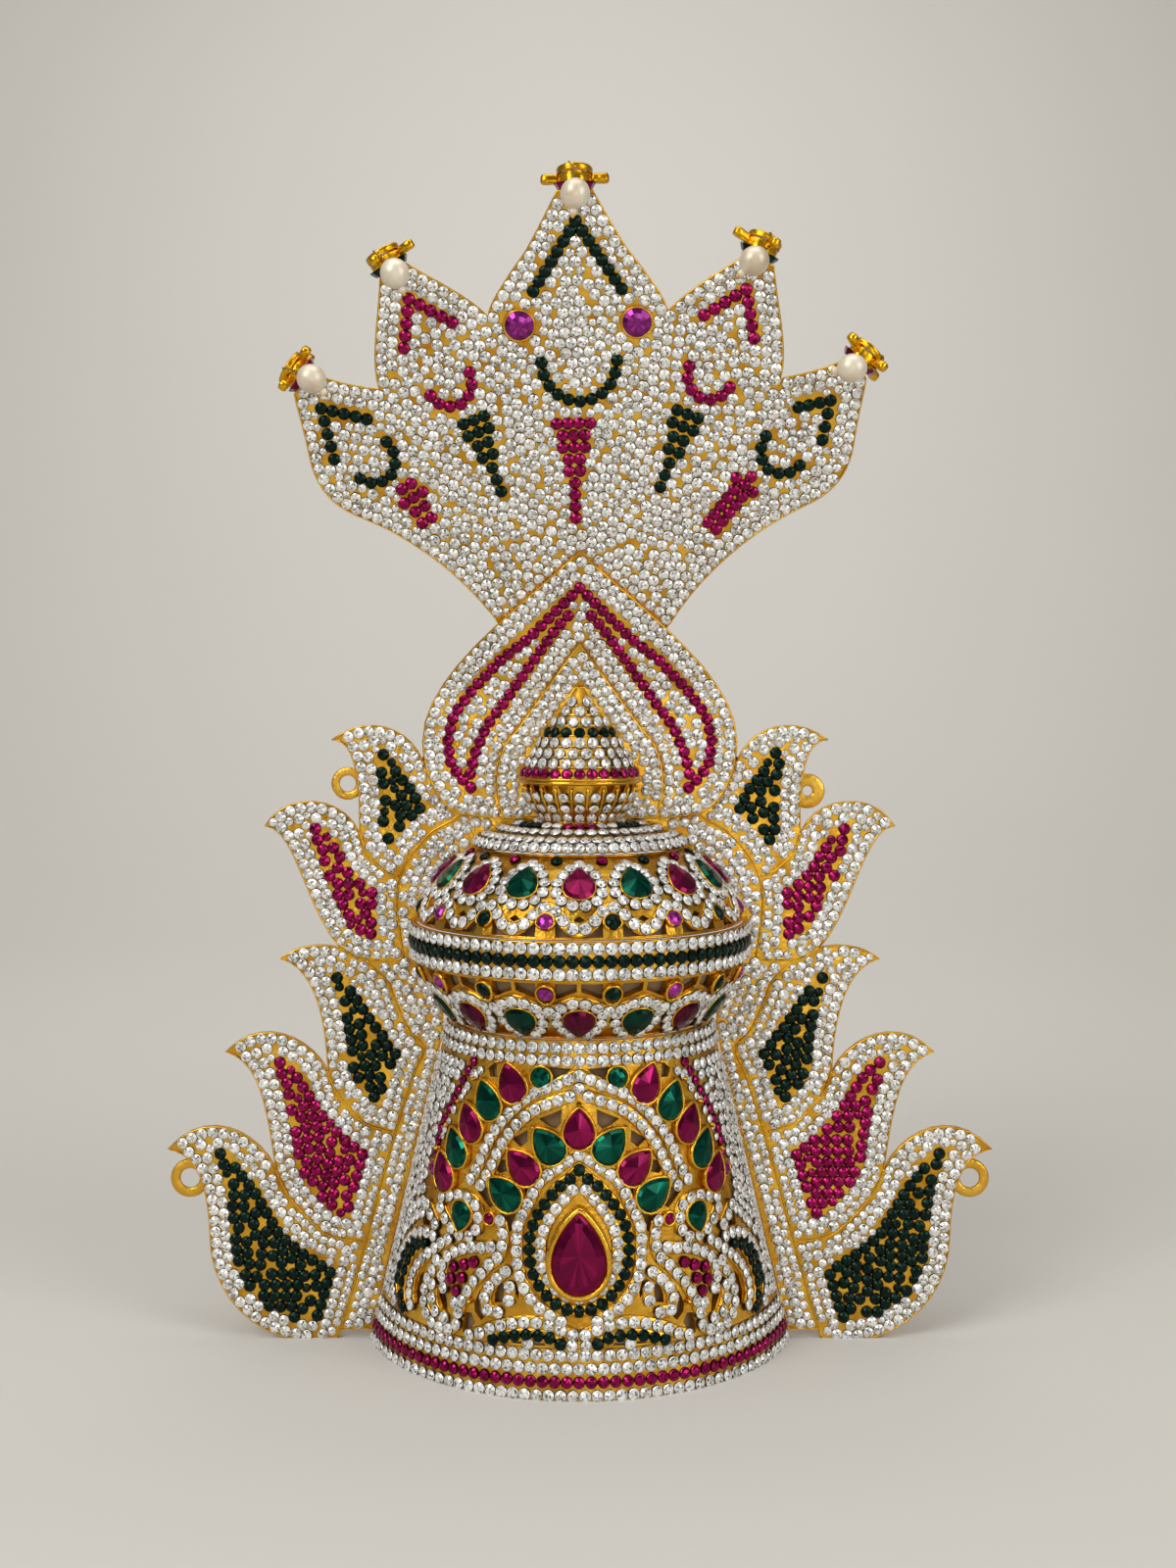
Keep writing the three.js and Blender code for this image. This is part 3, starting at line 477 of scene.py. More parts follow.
# Rows of small stones on the right half, on raised strips.
BODY_ROWS = [
    ("clear", [
        (0, 83), (3.3, 81.8), (6.4, 80.3), (9.4, 79.3), (12.3, 77.8), (15, 75.9), (17.5, 73.7),
        (19.9, 71.3), (22, 68.8), (23.9, 66.2), (25.6, 63.2), (27.1, 60.1), (28.6, 57),
        (30.4, 54.2),
    ]),
    ("clear", [
        (2.4, 77.6), (5.9, 76.4), (9, 75.2), (11.9, 73.7), (14.5, 71.7), (16.8, 69.5), (18.8, 67.1),
        (20.6, 64.5), (22.2, 61.7), (23.6, 58.8), (25.2, 55.9), (27, 53.1),
    ]),
    ("clear", [
        (0, 62.9), (3.2, 61.1), (6.6, 58.6), (10.3, 55.7), (13.5, 49.6), (16, 44.3), (16.3, 39),
        (15.9, 33.5), (14.3, 28.7), (11.4, 25), (8.1, 22.7), (4.6, 20.9),
    ]),
    ("emerald", [
        (0, 58.9), (2.4, 56.6), (5, 54.7), (7, 52.5), (9, 50), (10.8, 47.2), (12.2, 44),
        (12.9, 40.8), (12.9, 37.5), (12.4, 34.1), (11.1, 30.8), (9, 27.9), (6.4, 25.5), (3.2, 23.9),
        (0, 23.4),
    ]),
    ("clear", [
        (1.7, 54), (4.9, 50.3), (7.2, 47.3), (8.8, 44.3), (9.8, 41.2), (10, 37.9), (9.7, 34.7),
        (8.1, 31.6), (5.8, 28.9), (3.1, 27.3), (0, 26.7),
    ]),
    ("clear", [
        (21, 45), (20.2, 41.7), (20.4, 38.5), (21.8, 35.2), (24.2, 33.4), (26.5, 30.8),
        (28.9, 28.4), (30.7, 25.7), (32.6, 22.6), (33.4, 19.9),
    ]),
    ("clear", [
        (23.6, 38), (26.8, 37.3), (30, 37), (33.2, 35.8), (36.6, 34.1), (39, 31.6), (39.7, 28.4),
        (38.8, 25.1),
    ]),
    ("clear", [
        (41.9, 31.4), (43.4, 28.5), (45.6, 25.3), (46.3, 22.2), (46.2, 19.3), (44.7, 17),
        (42, 15.4), (39, 14.9), (36.1, 15.2), (34, 16.8),
    ]),
    ("clear", [(43.1, 25), (43, 21.5), (41.2, 18.4), (38.2, 17.6)]),
    ("clear", [
        (28.2, 41.6), (27.6, 44.9), (28.8, 48.2), (31.9, 49.3), (35, 49.3), (38, 48.6), (41, 47.7),
    ]),
    ("clear", [(41.4, 44.9), (39.2, 42.4), (36.6, 40.4), (33.4, 39.4), (30.4, 39.6)]),
    ("clear", [
        (37.8, 37.6), (41, 35.6), (43.9, 33.5), (47, 31.4), (49.5, 29.2), (51.6, 26.8),
        (53.1, 23.8), (53.4, 20.5), (52.2, 17.6),
    ]),
    ("clear", [
        (43.9, 37.1), (47, 37.3), (50.2, 36.7), (53.9, 35), (57, 32.6), (59.5, 30), (61.6, 27.4),
        (63.2, 24.6), (63.9, 21.7), (63.4, 18.8), (61.4, 16.2),
    ]),
    ("emerald", [
        (48, 34.3), (51.6, 33), (54.4, 30.4), (56.3, 27.4), (57.6, 24.4), (58.4, 21.4), (58, 18.5),
        (56.4, 16),
    ]),
    ("emerald", [(53.5, 34), (56.6, 31.2), (58.8, 28.2), (60.4, 25.1), (61.2, 22)]),
    ("clear", [(47.9, 44.3), (45.8, 42.2), (43.3, 40.2)]),
    ("clear", [(19.3, 32.3), (21.6, 30.4), (23.9, 28), (25.3, 25.1), (24.4, 22.1), (21.3, 21.9)]),
    ("clear", [(18.2, 28.6), (18.4, 25.2)]),
    ("clear", [
        (1.6, 17.6), (4.6, 18.8), (8.2, 19.9), (11.6, 20.3), (15, 20.1), (17.8, 19.5), (20.9, 18.6),
        (24.2, 17.3), (27, 15.8), (29.7, 15.1),
    ]),
    ("emerald", [
        (4.8, 15.2), (7.4, 16.6), (10.6, 17), (13.8, 17), (16.8, 16.6), (19.8, 15.8), (22.8, 14.9),
    ]),
]
# Single small stones: kind, u, z, diameter, and whether it has a bezel.
BODY_SINGLES = [
    ("green", 10, 82.3, 5.4, True), ("ruby", 24.3, 45.1, 3, True), ("violet", 46.6, 54, 3.6, True),
    ("ruby", 29.1, 33.3, 3.1, False), ("ruby", 32.3, 32.1, 3.1, False),
    ("ruby", 35.7, 31, 3.1, False), ("ruby", 32.9, 28.7, 3.1, False),
    ("ruby", 36.6, 27.8, 3.1, False), ("ruby", 34.6, 25.2, 3.1, False),
    ("clear", 13.2, 14.9, 3.05, False), ("clear", 34.9, 22.2, 3.05, False),
    ("clear", 1.8, 14.9, 3.05, False), ("clear", 0, 79.7, 3.05, False),
]
BODY_PINK_COLUMN = [(31.6, 84), (35, 79.5), (38.3, 74.5), (42.2, 69.2), (45.4, 64), (46.4, 58)]
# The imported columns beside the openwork: their inner edge; the body's side is the outer one.
SIDE_INNER = [
    (24, 84.2), (30, 79.2), (35.9, 72.4), (41, 65), (45.2, 57.5), (49, 56.2), (50.2, 49.5),
    (49.6, 46), (48.4, 40.6), (52.4, 38.9), (56.5, 36.3), (60.5, 33), (64, 28.6), (66, 23),
    (65.6, 18.4), (64.2, 15.2),
]
TIP_BEADS = [
    (0, 75.6), (12, 69.5), (19.2, 63.6), (24.6, 56.4), (22.4, 85.4), (30.4, 79.9), (36.2, 73.2),
    (41, 66.2), (45, 59.4), (25, 24.6), (29.8, 23.4), (1.4, 23.2),
]
BEZEL = [(-0.7, 0), (-0.66, 1.2), (-0.5, 1.55), (-0.2, 1.65), (0.05, 1.45), (0.1, 0.6), (0.1, 0)]
CENTRE_BEZEL = [(-1.55, 0), (-1.5, 2.1), (-1.15, 2.75), (-0.4, 2.95), (0.1, 2.6), (0.3, 1.4), (0.3, 0)]
ROUND_BEZEL = [(-0.7, 0), (-0.62, 0.9), (-0.2, 1.2), (0.1, 0.9), (0.1, 0)]
TIP_BEAD = [(0, 0), (0, 0.9), (0.45, 1.7), (0.7, 2)]
PEAR_CUT = [(None, 0.5), (0, 0.5), (0, 1.35), (0.8, 2), (None, 2.35)]
CENTRE_CUT = [(None, 1.1), (0, 1.1), (0, 2.4), (0.9, 3.1), (2.4, 3.5), (None, 3.6)]
STRIP_SECTION = [(-1.72, -0.3), (-1.68, 0.42), (-1.35, 0.6), (1.35, 0.6), (1.68, 0.42), (1.72, -0.3)]
# Painted glints and reflections of the larger stones' facets: the tones that a facet may take, and how
# often each is drawn.
CENTRE_GLINT_TONES = [0.7, 0.58, 0.52, 0.46, 0.36]
GEM_GLINT_TONES = [0.95, 0.72, 0.58, 0.48, 0.34]
GEM_CHANCES = [0.1, 0.25, 0.3, 0.25, 0.1]


def edge_distance(x, y, line, closed=True):
    """Distance from grid points to a polygon's edge, and whether they lie inside it."""
    points = np.array(line, float)
    ends = np.roll(points, -1, 0)
    if not closed:
        points, ends = points[:-1], ends[:-1]
    nearest = np.full(x.shape, 1e9)
    inside = np.zeros(x.shape, bool)
    for (ax, ay), (bx, by) in zip(points, ends):
        dx, dy = bx - ax, by - ay
        if dx * dx + dy * dy < 1e-9:
            continue
        t = np.clip(((x - ax) * dx + (y - ay) * dy) / (dx * dx + dy * dy), 0, 1)
        nearest = np.minimum(nearest, np.hypot(x - ax - t * dx, y - ay - t * dy))
        if dy:
            inside ^= ((ay > y) != (by > y)) & (x < ax + (y - ay) * dx / dy)
    return nearest, inside


def free_room(x, y, outline, margin, holes, seams):
    """How far each place is from every edge that a stone keeps clear of, or -1 outside."""
    away, inside = edge_distance(x, y, outline)
    room = away - margin
    for hole in holes:
        away, covered = edge_distance(x, y, hole)
        room = np.minimum(room, away - margin)
        inside &= ~covered
    for line in seams:
        room = np.minimum(room, edge_distance(x, y, line, False)[0] - SEAM_GAP)
    return np.where(inside, room, -1)


def row_beside(line, by, edges, taken, closed=False, size=STONE):
    """Stones in a row to one side of a line, each one against its neighbours."""
    points = np.array(list(line) + ([line[0]] if closed else []), float)
    run = np.concatenate([[0], np.cumsum(np.hypot(*np.diff(points, axis=0).T))])
    at = np.arange(0, run[-1], 0.12)
    x, y = np.interp(at, run, points[:, 0]), np.interp(at, run, points[:, 1])
    dx, dy = np.gradient(x), np.gradient(y)
    long = np.maximum(np.hypot(dx, dy), 1e-6)
    x, y = x - by * dy / long, y + by * dx / long
    fits = free_room(x, y, *edges) >= 0.5 * size - 0.02
    fits &= edge_distance(x, y, line, closed)[0] >= abs(by) - 0.12
    for px, py, diameter in taken:
        fits &= np.hypot(x - px, y - py) >= 0.5 * (size + diameter) - PRESSED
    found = []
    for a, b in zip(x[fits], y[fits]):
        if all(math.hypot(a - p, b - q) >= size - PRESSED for p, q, _ in reversed(found)):
            found.append((float(a), float(b), size))
    return found


def field_of(edges):
    """A fine grid over an outline, with the room at each place."""
    low, high = np.min(edges[0], 0), np.max(edges[0], 0)
    x, y = np.meshgrid(*(np.arange(a, b, FIELD_STEP) for a, b in zip(low, high)))
    return x, y, free_room(x, y, *edges)


def pave(field, taken, size, seed, tight=0.05, inward=0.0):
    """Fills a field with stones as a setter does, each one against what is there already."""
    x, y, room = field
    draw = np.random.default_rng(seed)
    r = 0.5 * (size - PRESSED)
    first, second = np.where(room < 0, -1, room - 0.5 * size + r), np.full(x.shape, 3.0)
    bias = draw.uniform(0, tight, x.shape) + inward * np.minimum(room, 12)
    reach = int(3.2 * STONE / FIELD_STEP)

    def around(px, py):
        row, column = round((py - y[0, 0]) / FIELD_STEP), round((px - x[0, 0]) / FIELD_STEP)
        return (
            slice(max(0, row - reach), max(0, row + reach + 1)),
            slice(max(0, column - reach), max(0, column + reach + 1)),
        )

    def press(px, py, away):
        window = around(px, py)
        near = np.hypot(x[window] - px, y[window] - py) - away
        second[window] = np.minimum(second[window], np.maximum(first[window], near))
        first[window] = np.minimum(first[window], near)
        return window

    for px, py, diameter in taken:
        press(px, py, 0.5 * (diameter - PRESSED))
    score = np.where(first >= r, first + second + bias, np.inf)
    found = []
    while True:
        row, column = divmod(int(np.argmin(score)), x.shape[1])
        if not np.isfinite(score[row, column]):
            return found
        found.append((float(x[row, column]), float(y[row, column]), size))
        window = press(*found[-1][:2], r)
        room_left = first[window] + second[window] + bias[window]
        score[window] = np.where(first[window] >= r, room_left, np.inf)


def fill(edges, taken, rows, seed, tight=0.05):
    """Rows along the edges, then stones in the field, then smaller ones in the holes left."""
    found = []
    for line, by, closed in rows:
        found += row_beside(line, by, edges, taken + found, closed)
    field = field_of(edges)
    found += pave(field, taken + found, STONE, seed, tight, INWARD)
    for size in (SMALL, TINY):
        found += pave(field, taken + found, size, seed)
    return found


def join_form(whole, form):
    """Adds a closed form to the piece that it is part of."""
    bmesh.ops.recalc_face_normals(form, faces=form.faces)
    joint = bpy.data.meshes.new("form")
    form.to_mesh(joint)
    form.free()
    whole.from_mesh(joint)
    bpy.data.meshes.remove(joint)


def finished(name, whole):
    """The mesh of a piece once all its forms are in it."""
    mesh = bpy.data.meshes.new(name)
    whole.to_mesh(mesh)
    whole.free()
    return mesh


def sweep_metal(name, lines, profile, metal=GILT_RELIEF):
    """Runs a metal section, points of (across, out), along lines of (surface, points, closed)."""
    whole = bmesh.new()
    for surface, points, closed in lines:
        frames = [seat(surface, a, b) for a, b in points]
        spots = [m.translation for m in frames]
        rail = bmesh.new()
        steps, sides = len(points) + (1 if closed else 0), len(profile)
        bmesh.ops.create_grid(rail, x_segments=steps - 1, y_segments=sides, size=0.5)
        for v in rail.verts:
            i = round((v.co.x + 0.5) * (steps - 1)) % len(points)
            across, out = profile[round((v.co.y + 0.5) * sides) % sides]
            before = spots[i - 1] if i > 0 or closed else spots[0]
            after = spots[(i + 1) % len(spots)] if i < len(spots) - 1 or closed else spots[-1]
            normal = frames[i].col[2].to_3d()
            sideways = normal.cross((after - before).normalized()).normalized()
            v.co = spots[i] + across * sideways + out * normal
        bmesh.ops.remove_doubles(rail, verts=rail.verts, dist=1e-4)
        bmesh.ops.holes_fill(rail, edges=[e for e in rail.edges if e.is_boundary])
        join_form(whole, rail)
    return place_piece(name, finished(name, whole), metal, True)


def rounded(points, pitch=1.2):
    """A line through points, rounded and evenly stepped."""
    line = [Vector((a, b, 0)) for a, b in points]
    last = len(line) - 1
    curve = []
    for i in range(last):
        p0, p1, p2, p3 = line[max(0, i - 1)], line[i], line[i + 1], line[min(last, i + 2)]
        steps = max(1, round((p2 - p1).length / pitch))
        square, cube = 2 * p0 - 5 * p1 + 4 * p2 - p3, 3 * p1 - p0 - 3 * p2 + p3
        for k in range(steps):
            t = k / steps
            spot = 0.5 * (2 * p1 + (p2 - p0) * t + square * t**2 + cube * t**3)
            curve.append((spot.x, spot.y))
    return curve + [(line[-1].x, line[-1].y)]


def round_section(radius, lift=0):
    """A round metal section, its middle lifted off the surface."""
    turns = [2 * math.pi * i / 6 for i in range(6)]
    return [(radius * math.cos(a), lift + radius * math.sin(a)) for a in turns]


def turn_of(outline):
    """1 if an outline runs anticlockwise, or else -1."""
    area = sum(a * d - c * b for (a, b), (c, d) in zip(outline, outline[1:] + outline[:1]))
    return 1 if area > 0 else -1


def inset(outline, by):
    """An outline moved inwards."""
    count = len(outline)
    turn = turn_of(outline)
    moved = []
    for i in range(count):
        before, here, after = (Vector(outline[(i + k) % count]) for k in (-1, 0, 1))
        ahead, behind = (after - here).normalized(), (here - before).normalized()
        normal = Vector((-(ahead.y + behind.y), ahead.x + behind.x))
        if normal.length < 1e-6:
            normal = Vector((-ahead.y, ahead.x))
        spot = here + normal.normalized() * by * turn
        moved.append((spot.x, spot.y))
    return moved


def to_side(points, side):
    return [(side * a, b) for a, b in points]


def pear_line(width, height, count=18):
    """Outline of a pear-cut stone: round below, pointed above."""
    line = []
    for i in range(count):
        a = 2 * math.pi * i / count
        line.append((math.sin(a) * abs(math.sin(0.5 * a)) ** PEAR_TAPER, 0.5 * height * math.cos(a)))
    widest = max(x for x, y in line)
    return [(0.5 * width * x / widest, y) for x, y in line]


def round_line(diameter, count=14):
    turns = [2 * math.pi * i / count for i in range(count)]
    return [(0.5 * diameter * math.sin(a), 0.5 * diameter * math.cos(a)) for a in turns]


def chart(surface, a, b, turn=0):
    """A flat measure in millimetres around a place on a surface, turned clockwise by degrees."""
    wide = (surface(a + 1, b, 0) - surface(a - 1, b, 0)).length / 2
    tall = (surface(a, b + 1, 0) - surface(a, b - 1, 0)).length / 2
    c, s = math.cos(math.radians(turn)), math.sin(math.radians(turn))

    def place(x, y, out):
        return surface(a + (x * c + y * s) / wide, b + (y * c - x * s) / tall, out)

    return place


def lofted(name, parts):
    """Closed forms of (place, outline, levels): the outline moves in and rises by levels."""
    whole = bmesh.new()
    for place, outline, levels in parts:
        rings = []
        for by, out in levels:
            ring = inset(outline, by) if by is not None else [(0, 0)] * len(outline)
            rings.append([(x, y, out) for x, y in ring])
        form = bmesh.new()
        around, up = len(outline), len(levels) - 1
        bmesh.ops.create_grid(form, x_segments=around, y_segments=up, size=0.5)
        for v in form.verts:
            i = round((v.co.x + 0.5) * around) % around
            v.co = place(*rings[round((v.co.y + 0.5) * up)][i])
        bmesh.ops.remove_doubles(form, verts=form.verts, dist=1e-4)
        bmesh.ops.dissolve_degenerate(form, edges=form.edges, dist=1e-4)
        join_form(whole, form)
    return finished(name, whole)


def set_gems(name, kind, parts, seed, tones=GEM_GLINT_TONES):
    """Sets larger faceted stones as one piece; each facet has its own tone, a painted glint or painted
    reflection.
    """
    mesh = lofted(name, parts)
    draw = np.random.default_rng(seed)
    paint_tones(mesh, draw.choice(tones, len(mesh.polygons), p=GEM_CHANCES))
    return place_piece(name, mesh, GLASS[kind])


def cast_relief(name, parts):
    """Joins bezels, beads and the like into one gilded piece."""
    mesh = lofted(name, [(place, outline, levels + levels[:1]) for place, outline, levels in parts])
    return place_piece(name, mesh, GILT_RELIEF, True)


def shade_card(name, parts):
    """A thin dark card behind pierced walls, painted shade seen through their openings, over (surface,
    reach, low, high) for each of them.
    """
    whole = bmesh.new()
    for surface, reach, low, high in parts:
        skin = bmesh.new()
        bmesh.ops.create_grid(skin, x_segments=64, y_segments=16, size=0.5)
        for v in skin.verts:
            b = low + (v.co.y + 0.5) * (high - low)
            v.co = surface(2 * v.co.x * reach(b), b, INSIDE)
        bmesh.ops.solidify(skin, geom=skin.faces[:], thickness=CARD)
        join_form(whole, skin)
    return place_piece(name, finished(name, whole), SHADE_CARD_PAINT, True)


# Painted shade: a dark brown card behind the pierced walls, so that their openings look into shade
# instead of onto the pale sweep.
SHADE_CARD_PAINT = plain_paint("painted_shade_card", (0.26, 0.17, 0.09), 0.85)
shade_card("body_shade_card", [(on_body, lambda z: body_section(z)[2] - 3.5, 15, 88)])
body_seats = {"clear": [], "ruby": [], "emerald": [], "green": [], "violet": []}
strips = []
for side in (-1, 1):
    for kind, line in BODY_ROWS:
        points = to_side(rounded(line), side)
        strips.append((on_body, points, False))
        spots = along(points, PITCH, on_body)
        if side == 1 and line[0][0] == 0:
            spots = spots[1:]
        if side == 1 and line[-1][0] == 0:
            spots = spots[:-1]
        body_seats[kind] += [(seat(on_body, a, b, STRIP - 0.05), STONE) for a, b in spots]
    for kind, u, z, size, _ in BODY_SINGLES:
        body_seats[kind].append((seat(on_body, side * u, z, 0.45), size))
    pink = along(to_side(BODY_PINK_COLUMN, side), PINK_PITCH, on_body)
    body_seats["ruby"] += [(seat(on_body, a, b), PINK_STONE) for a, b in pink]
    heights = np.linspace(SIDE_FOOT, SIDE_TOP, 12)
    side_edge = [(body_section(z)[2] - SIDE_END, z) for z in heights]
    field = (to_side(SIDE_INNER + side_edge, side), 0, (), ())
    columns = [(to_side(side_edge, side), side * by, False) for by in SIDE_COLUMNS]
    for a, b, size in fill(field, [(a, b, PINK_STONE) for a, b in pink], columns, 70 + side):
        body_seats["clear"].append((seat(on_body, a, b), size))
for z in NECK_ROWS:
    reach = body_section(z)[2] - SIDE_END
    for a, b in along([(-reach, z), (reach, z)], PITCH, on_body):
        body_seats["clear"].append((seat(on_body, a, b), STONE))
for kind, places in body_seats.items():
    set_stones(f"body_{kind}_rounds", kind, places, 80)
sweep_metal("body_strips", strips, STRIP_SECTION)

middle_spot = chart(on_body, 0, MIDDLE_PEAR_Z)
body_gems = {"ruby": [(middle_spot, pear_line(*PEAR_SIZE), PEAR_CUT)], "green": []}
bezels = [(middle_spot, pear_line(*PEAR_SIZE), BEZEL)]
for side in (-1, 1):
    for kind, u, z, turn in PEARS:
        spot = chart(on_body, side * u, z, side * turn)
        body_gems[kind].append((spot, pear_line(*PEAR_SIZE), PEAR_CUT))
        bezels.append((spot, pear_line(*PEAR_SIZE), BEZEL))
    spot = chart(on_body, side * SWAN_PEAR[0], SWAN_PEAR[1], side * SWAN_PEAR[2])
    body_gems["green"].append((spot, pear_line(*SWAN_PEAR_SIZE), PEAR_CUT))
    bezels.append((spot, pear_line(*SWAN_PEAR_SIZE), BEZEL))
    for kind, u, z, size, rimmed in BODY_SINGLES:
        if rimmed:
            bezels.append((chart(on_body, side * u, z), round_line(size), ROUND_BEZEL))
    for u, z in TIP_BEADS:
        bezels.append((chart(on_body, side * u, z), round_line(1.5, 6), TIP_BEAD))
centre_spot, centre_line = chart(on_body, 0, CENTRE_PEAR_Z), pear_line(*CENTRE_PEAR_SIZE, 28)
bezels.append((centre_spot, centre_line, CENTRE_BEZEL))
cast_relief("body_bezels", bezels)
ruby_pears = set_gems("body_ruby_pears", "ruby", body_gems["ruby"], 90)
green_pears = set_gems("body_green_pears", "green", body_gems["green"], 91)
centre_parts = [(centre_spot, centre_line, CENTRE_CUT)]
centre_pear = set_gems("centre_ruby_pear", "ruby", centre_parts, 92, CENTRE_GLINT_TONES)
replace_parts(ruby_pears, "fan_pear_middle", *[n for n in PEAR_NODES if int(n[-1]) % 2])
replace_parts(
    green_pears, "swan_pear_left_1", "swan_pear_right_1",
    *[n for n in PEAR_NODES if not int(n[-1]) % 2],
)
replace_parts(centre_pear, "centre_pear")

# ---------------------------------------------------------------- bulge
# An onion-shaped bulge in two pierced halves with a belt between them, each a half-round
# casting. Pear stones ringed with small ones hang over a scalloped line of stones.

# Rows of each half-round wall from bottom to top: radius and height.
BOWL = [(34.2, 92), (37.8, 96), (41.4, 100.8), (44, 105.4), (45.4, 108.7)]
DOME = [(45.4, 119.3), (44.3, 123), (41.6, 127.8), (38, 132.2), (33.6, 136), (28.4, 139.4)]
BELT = [(46.8, 109), (46.8, 119)]
COLLAR = [(29.4, 140.4), (28.6, 141.8), (22, 144.6), (16, 146.4), (9, 146.6)]
BULGE_PEAR, BELT_STONE, SCALLOP_STONE = (8.2, 10.2), 3.42, 3.35
PEAR_RIM = [(-0.35, 0), (-0.33, 0.95), (-0.1, 1.15), (0.1, 1), (0.1, 0)]
# Painted shade: darker facet tones for the pear stones of the bowl, which face the ground.
PAINTED_SHADE_TONES = [0.42, 0.32, 0.24, 0.16, 0.08]  # of the stones that face the ground
REPEAT = 22.5  # degrees from one pear stone to the next
BULGE_AXIS = 0.3  # how far its axis lies in front of the flank plates
BETWEEN_STONE = 4.4
BELT_PITCH, RING_PITCH = 3.3, 3.05
RING_OUT = 1.85  # from a pear stone's edge to the middles of the stones round it
WALL_END = 88  # degrees from the front to the end of the walls' stones
BETWEEN_BEZEL = [(-0.6, 0), (-0.55, 1), (-0.15, 1.3), (0.1, 1), (0.1, 0)]
# Rows on the collar: percent of the way up, and degrees that they reach to each side.
COLLAR_ROWS = [(14, 86), (34, 86), (50, 84), (88, 70)]
DOME_WAVE, BOWL_WAVE = (12, 37), (63, 50)  # scallops: how far up the wall between and over pears
BELT_ROWS = [("clear", 83), ("emerald", 50), ("clear", 17)]


def turned(profile, axis=BULGE_AXIS):
    """A half-round wall: degrees from the front, percent of the way up its profile, and out."""
    last = len(profile) - 1
    rows = [Vector(p) for p in profile]
    normals = []
    for i in range(last + 1):
        way = (rows[min(last, i + 1)] - rows[max(0, i - 1)]).normalized()
        normals.append(Vector((way.y, -way.x)))

    def surface(degrees, percent, out=0):
        v = min(max(percent, 0), 100) / 100 * last
        i = min(int(v), last - 1)
        spot = rows[i].lerp(rows[i + 1], v - i) + out * normals[i].lerp(normals[i + 1], v - i)
        a = math.radians(degrees)
        return Vector((spot.x * math.sin(a), -axis - spot.x * math.cos(a), spot.y))

    return surface


def wave(low, high):
    """A scalloped line over the repeats of the bulge."""
    line = []
    for i in range(-60, 61):
        degrees = i * 1.5
        swing = 0.5 - 0.5 * math.cos(2 * math.pi * degrees / REPEAT)
        line.append((degrees, low + (high - low) * swing))
    return line


on_dome, on_bowl, on_belt, on_collar = turned(DOME), turned(BOWL), turned(BELT), turned(COLLAR)
bulge_seats = {kind: [] for kind in ("clear", "ruby", "emerald", "violet")}
bulge_gems = {(half, kind): [] for half in ("dome", "bowl") for kind in ("ruby", "green")}
bulge_bezels, bulge_rails = [], []
for kind, percent in BELT_ROWS:
    for a, b in along([(-WALL_END, percent), (WALL_END, percent)], BELT_PITCH, on_belt):
        bulge_seats[kind].append((seat(on_belt, a, b, 0.1), BELT_STONE))
for surface, levels in ((on_dome, DOME_WAVE), (on_bowl, BOWL_WAVE)):
    line = wave(*levels)
    for a, b in along(line[2:-2], SCALLOP_STONE - 0.05, surface):
        bulge_seats["clear"].append((seat(surface, a, b, STRIP - 0.05), SCALLOP_STONE))
    bulge_rails.append((surface, line, False))
for k in range(-4, 5):
    degrees = math.copysign(83.5, k) if abs(k) == 4 else k * REPEAT
    kind = "green" if k % 2 else "ruby"
    for half, surface, percent, turn in (("dome", on_dome, 62, 0), ("bowl", on_bowl, 31, 180)):
        if abs(k) == 4 and surface is on_bowl:
            continue
        spot = chart(surface, degrees, percent, turn)
        bulge_gems[half, kind].append((spot, pear_line(*BULGE_PEAR), PEAR_CUT))
        bulge_bezels.append((spot, pear_line(*BULGE_PEAR), PEAR_RIM))
        ring = inset(pear_line(*BULGE_PEAR), -RING_OUT)
        flat = along(ring, RING_PITCH, lambda x, y, out: Vector((x, y, 0)), closed=True)
        wide = (surface(degrees + 1, percent, 0) - surface(degrees - 1, percent, 0)).length / 2
        tall = (surface(degrees, percent + 1, 0) - surface(degrees, percent - 1, 0)).length / 2
        for x, y in flat:
            p = spot(x, y, 0)
            a = math.degrees(math.atan2(p.x, -BULGE_AXIS - p.y))
            b = percent + (-y if turn else y) / tall
            if abs(a) < WALL_END and 3 < b < 98 and abs(x / wide) < REPEAT * 0.56:
                bulge_seats["clear"].append((seat(surface, a, b, 0.25), STONE))
    if k == 4:
        continue
    between = (k + 0.5) * REPEAT
    tint = "violet" if k % 2 else "emerald"
    for surface, percent in ((on_dome, 22), (on_bowl, 77)):
        if abs(between) < 86:
            spot = chart(surface, between, percent)
            bulge_seats[tint].append((seat(surface, between, percent, 0.5), BETWEEN_STONE))
            bulge_bezels.append((spot, round_line(BETWEEN_STONE), BETWEEN_BEZEL))
    small = "emerald" if k % 2 else "ruby"
    bulge_seats[small].append((seat(on_dome, between, 91, 0.3), 3.2))

for percent, reach in COLLAR_ROWS:
    for a, b in along([(-reach, percent), (reach, percent)], PITCH, on_collar):
        bulge_seats["clear"].append((seat(on_collar, a, b, 0.05), STONE))
for a, b in along([(-80, 68), (80, 68)], PITCH, on_collar):
    kind = "ruby" if abs(a) < 11 else "emerald" if 38 < abs(a) < 66 else "clear"
    bulge_seats[kind].append((seat(on_collar, a, b, 0.05), STONE))

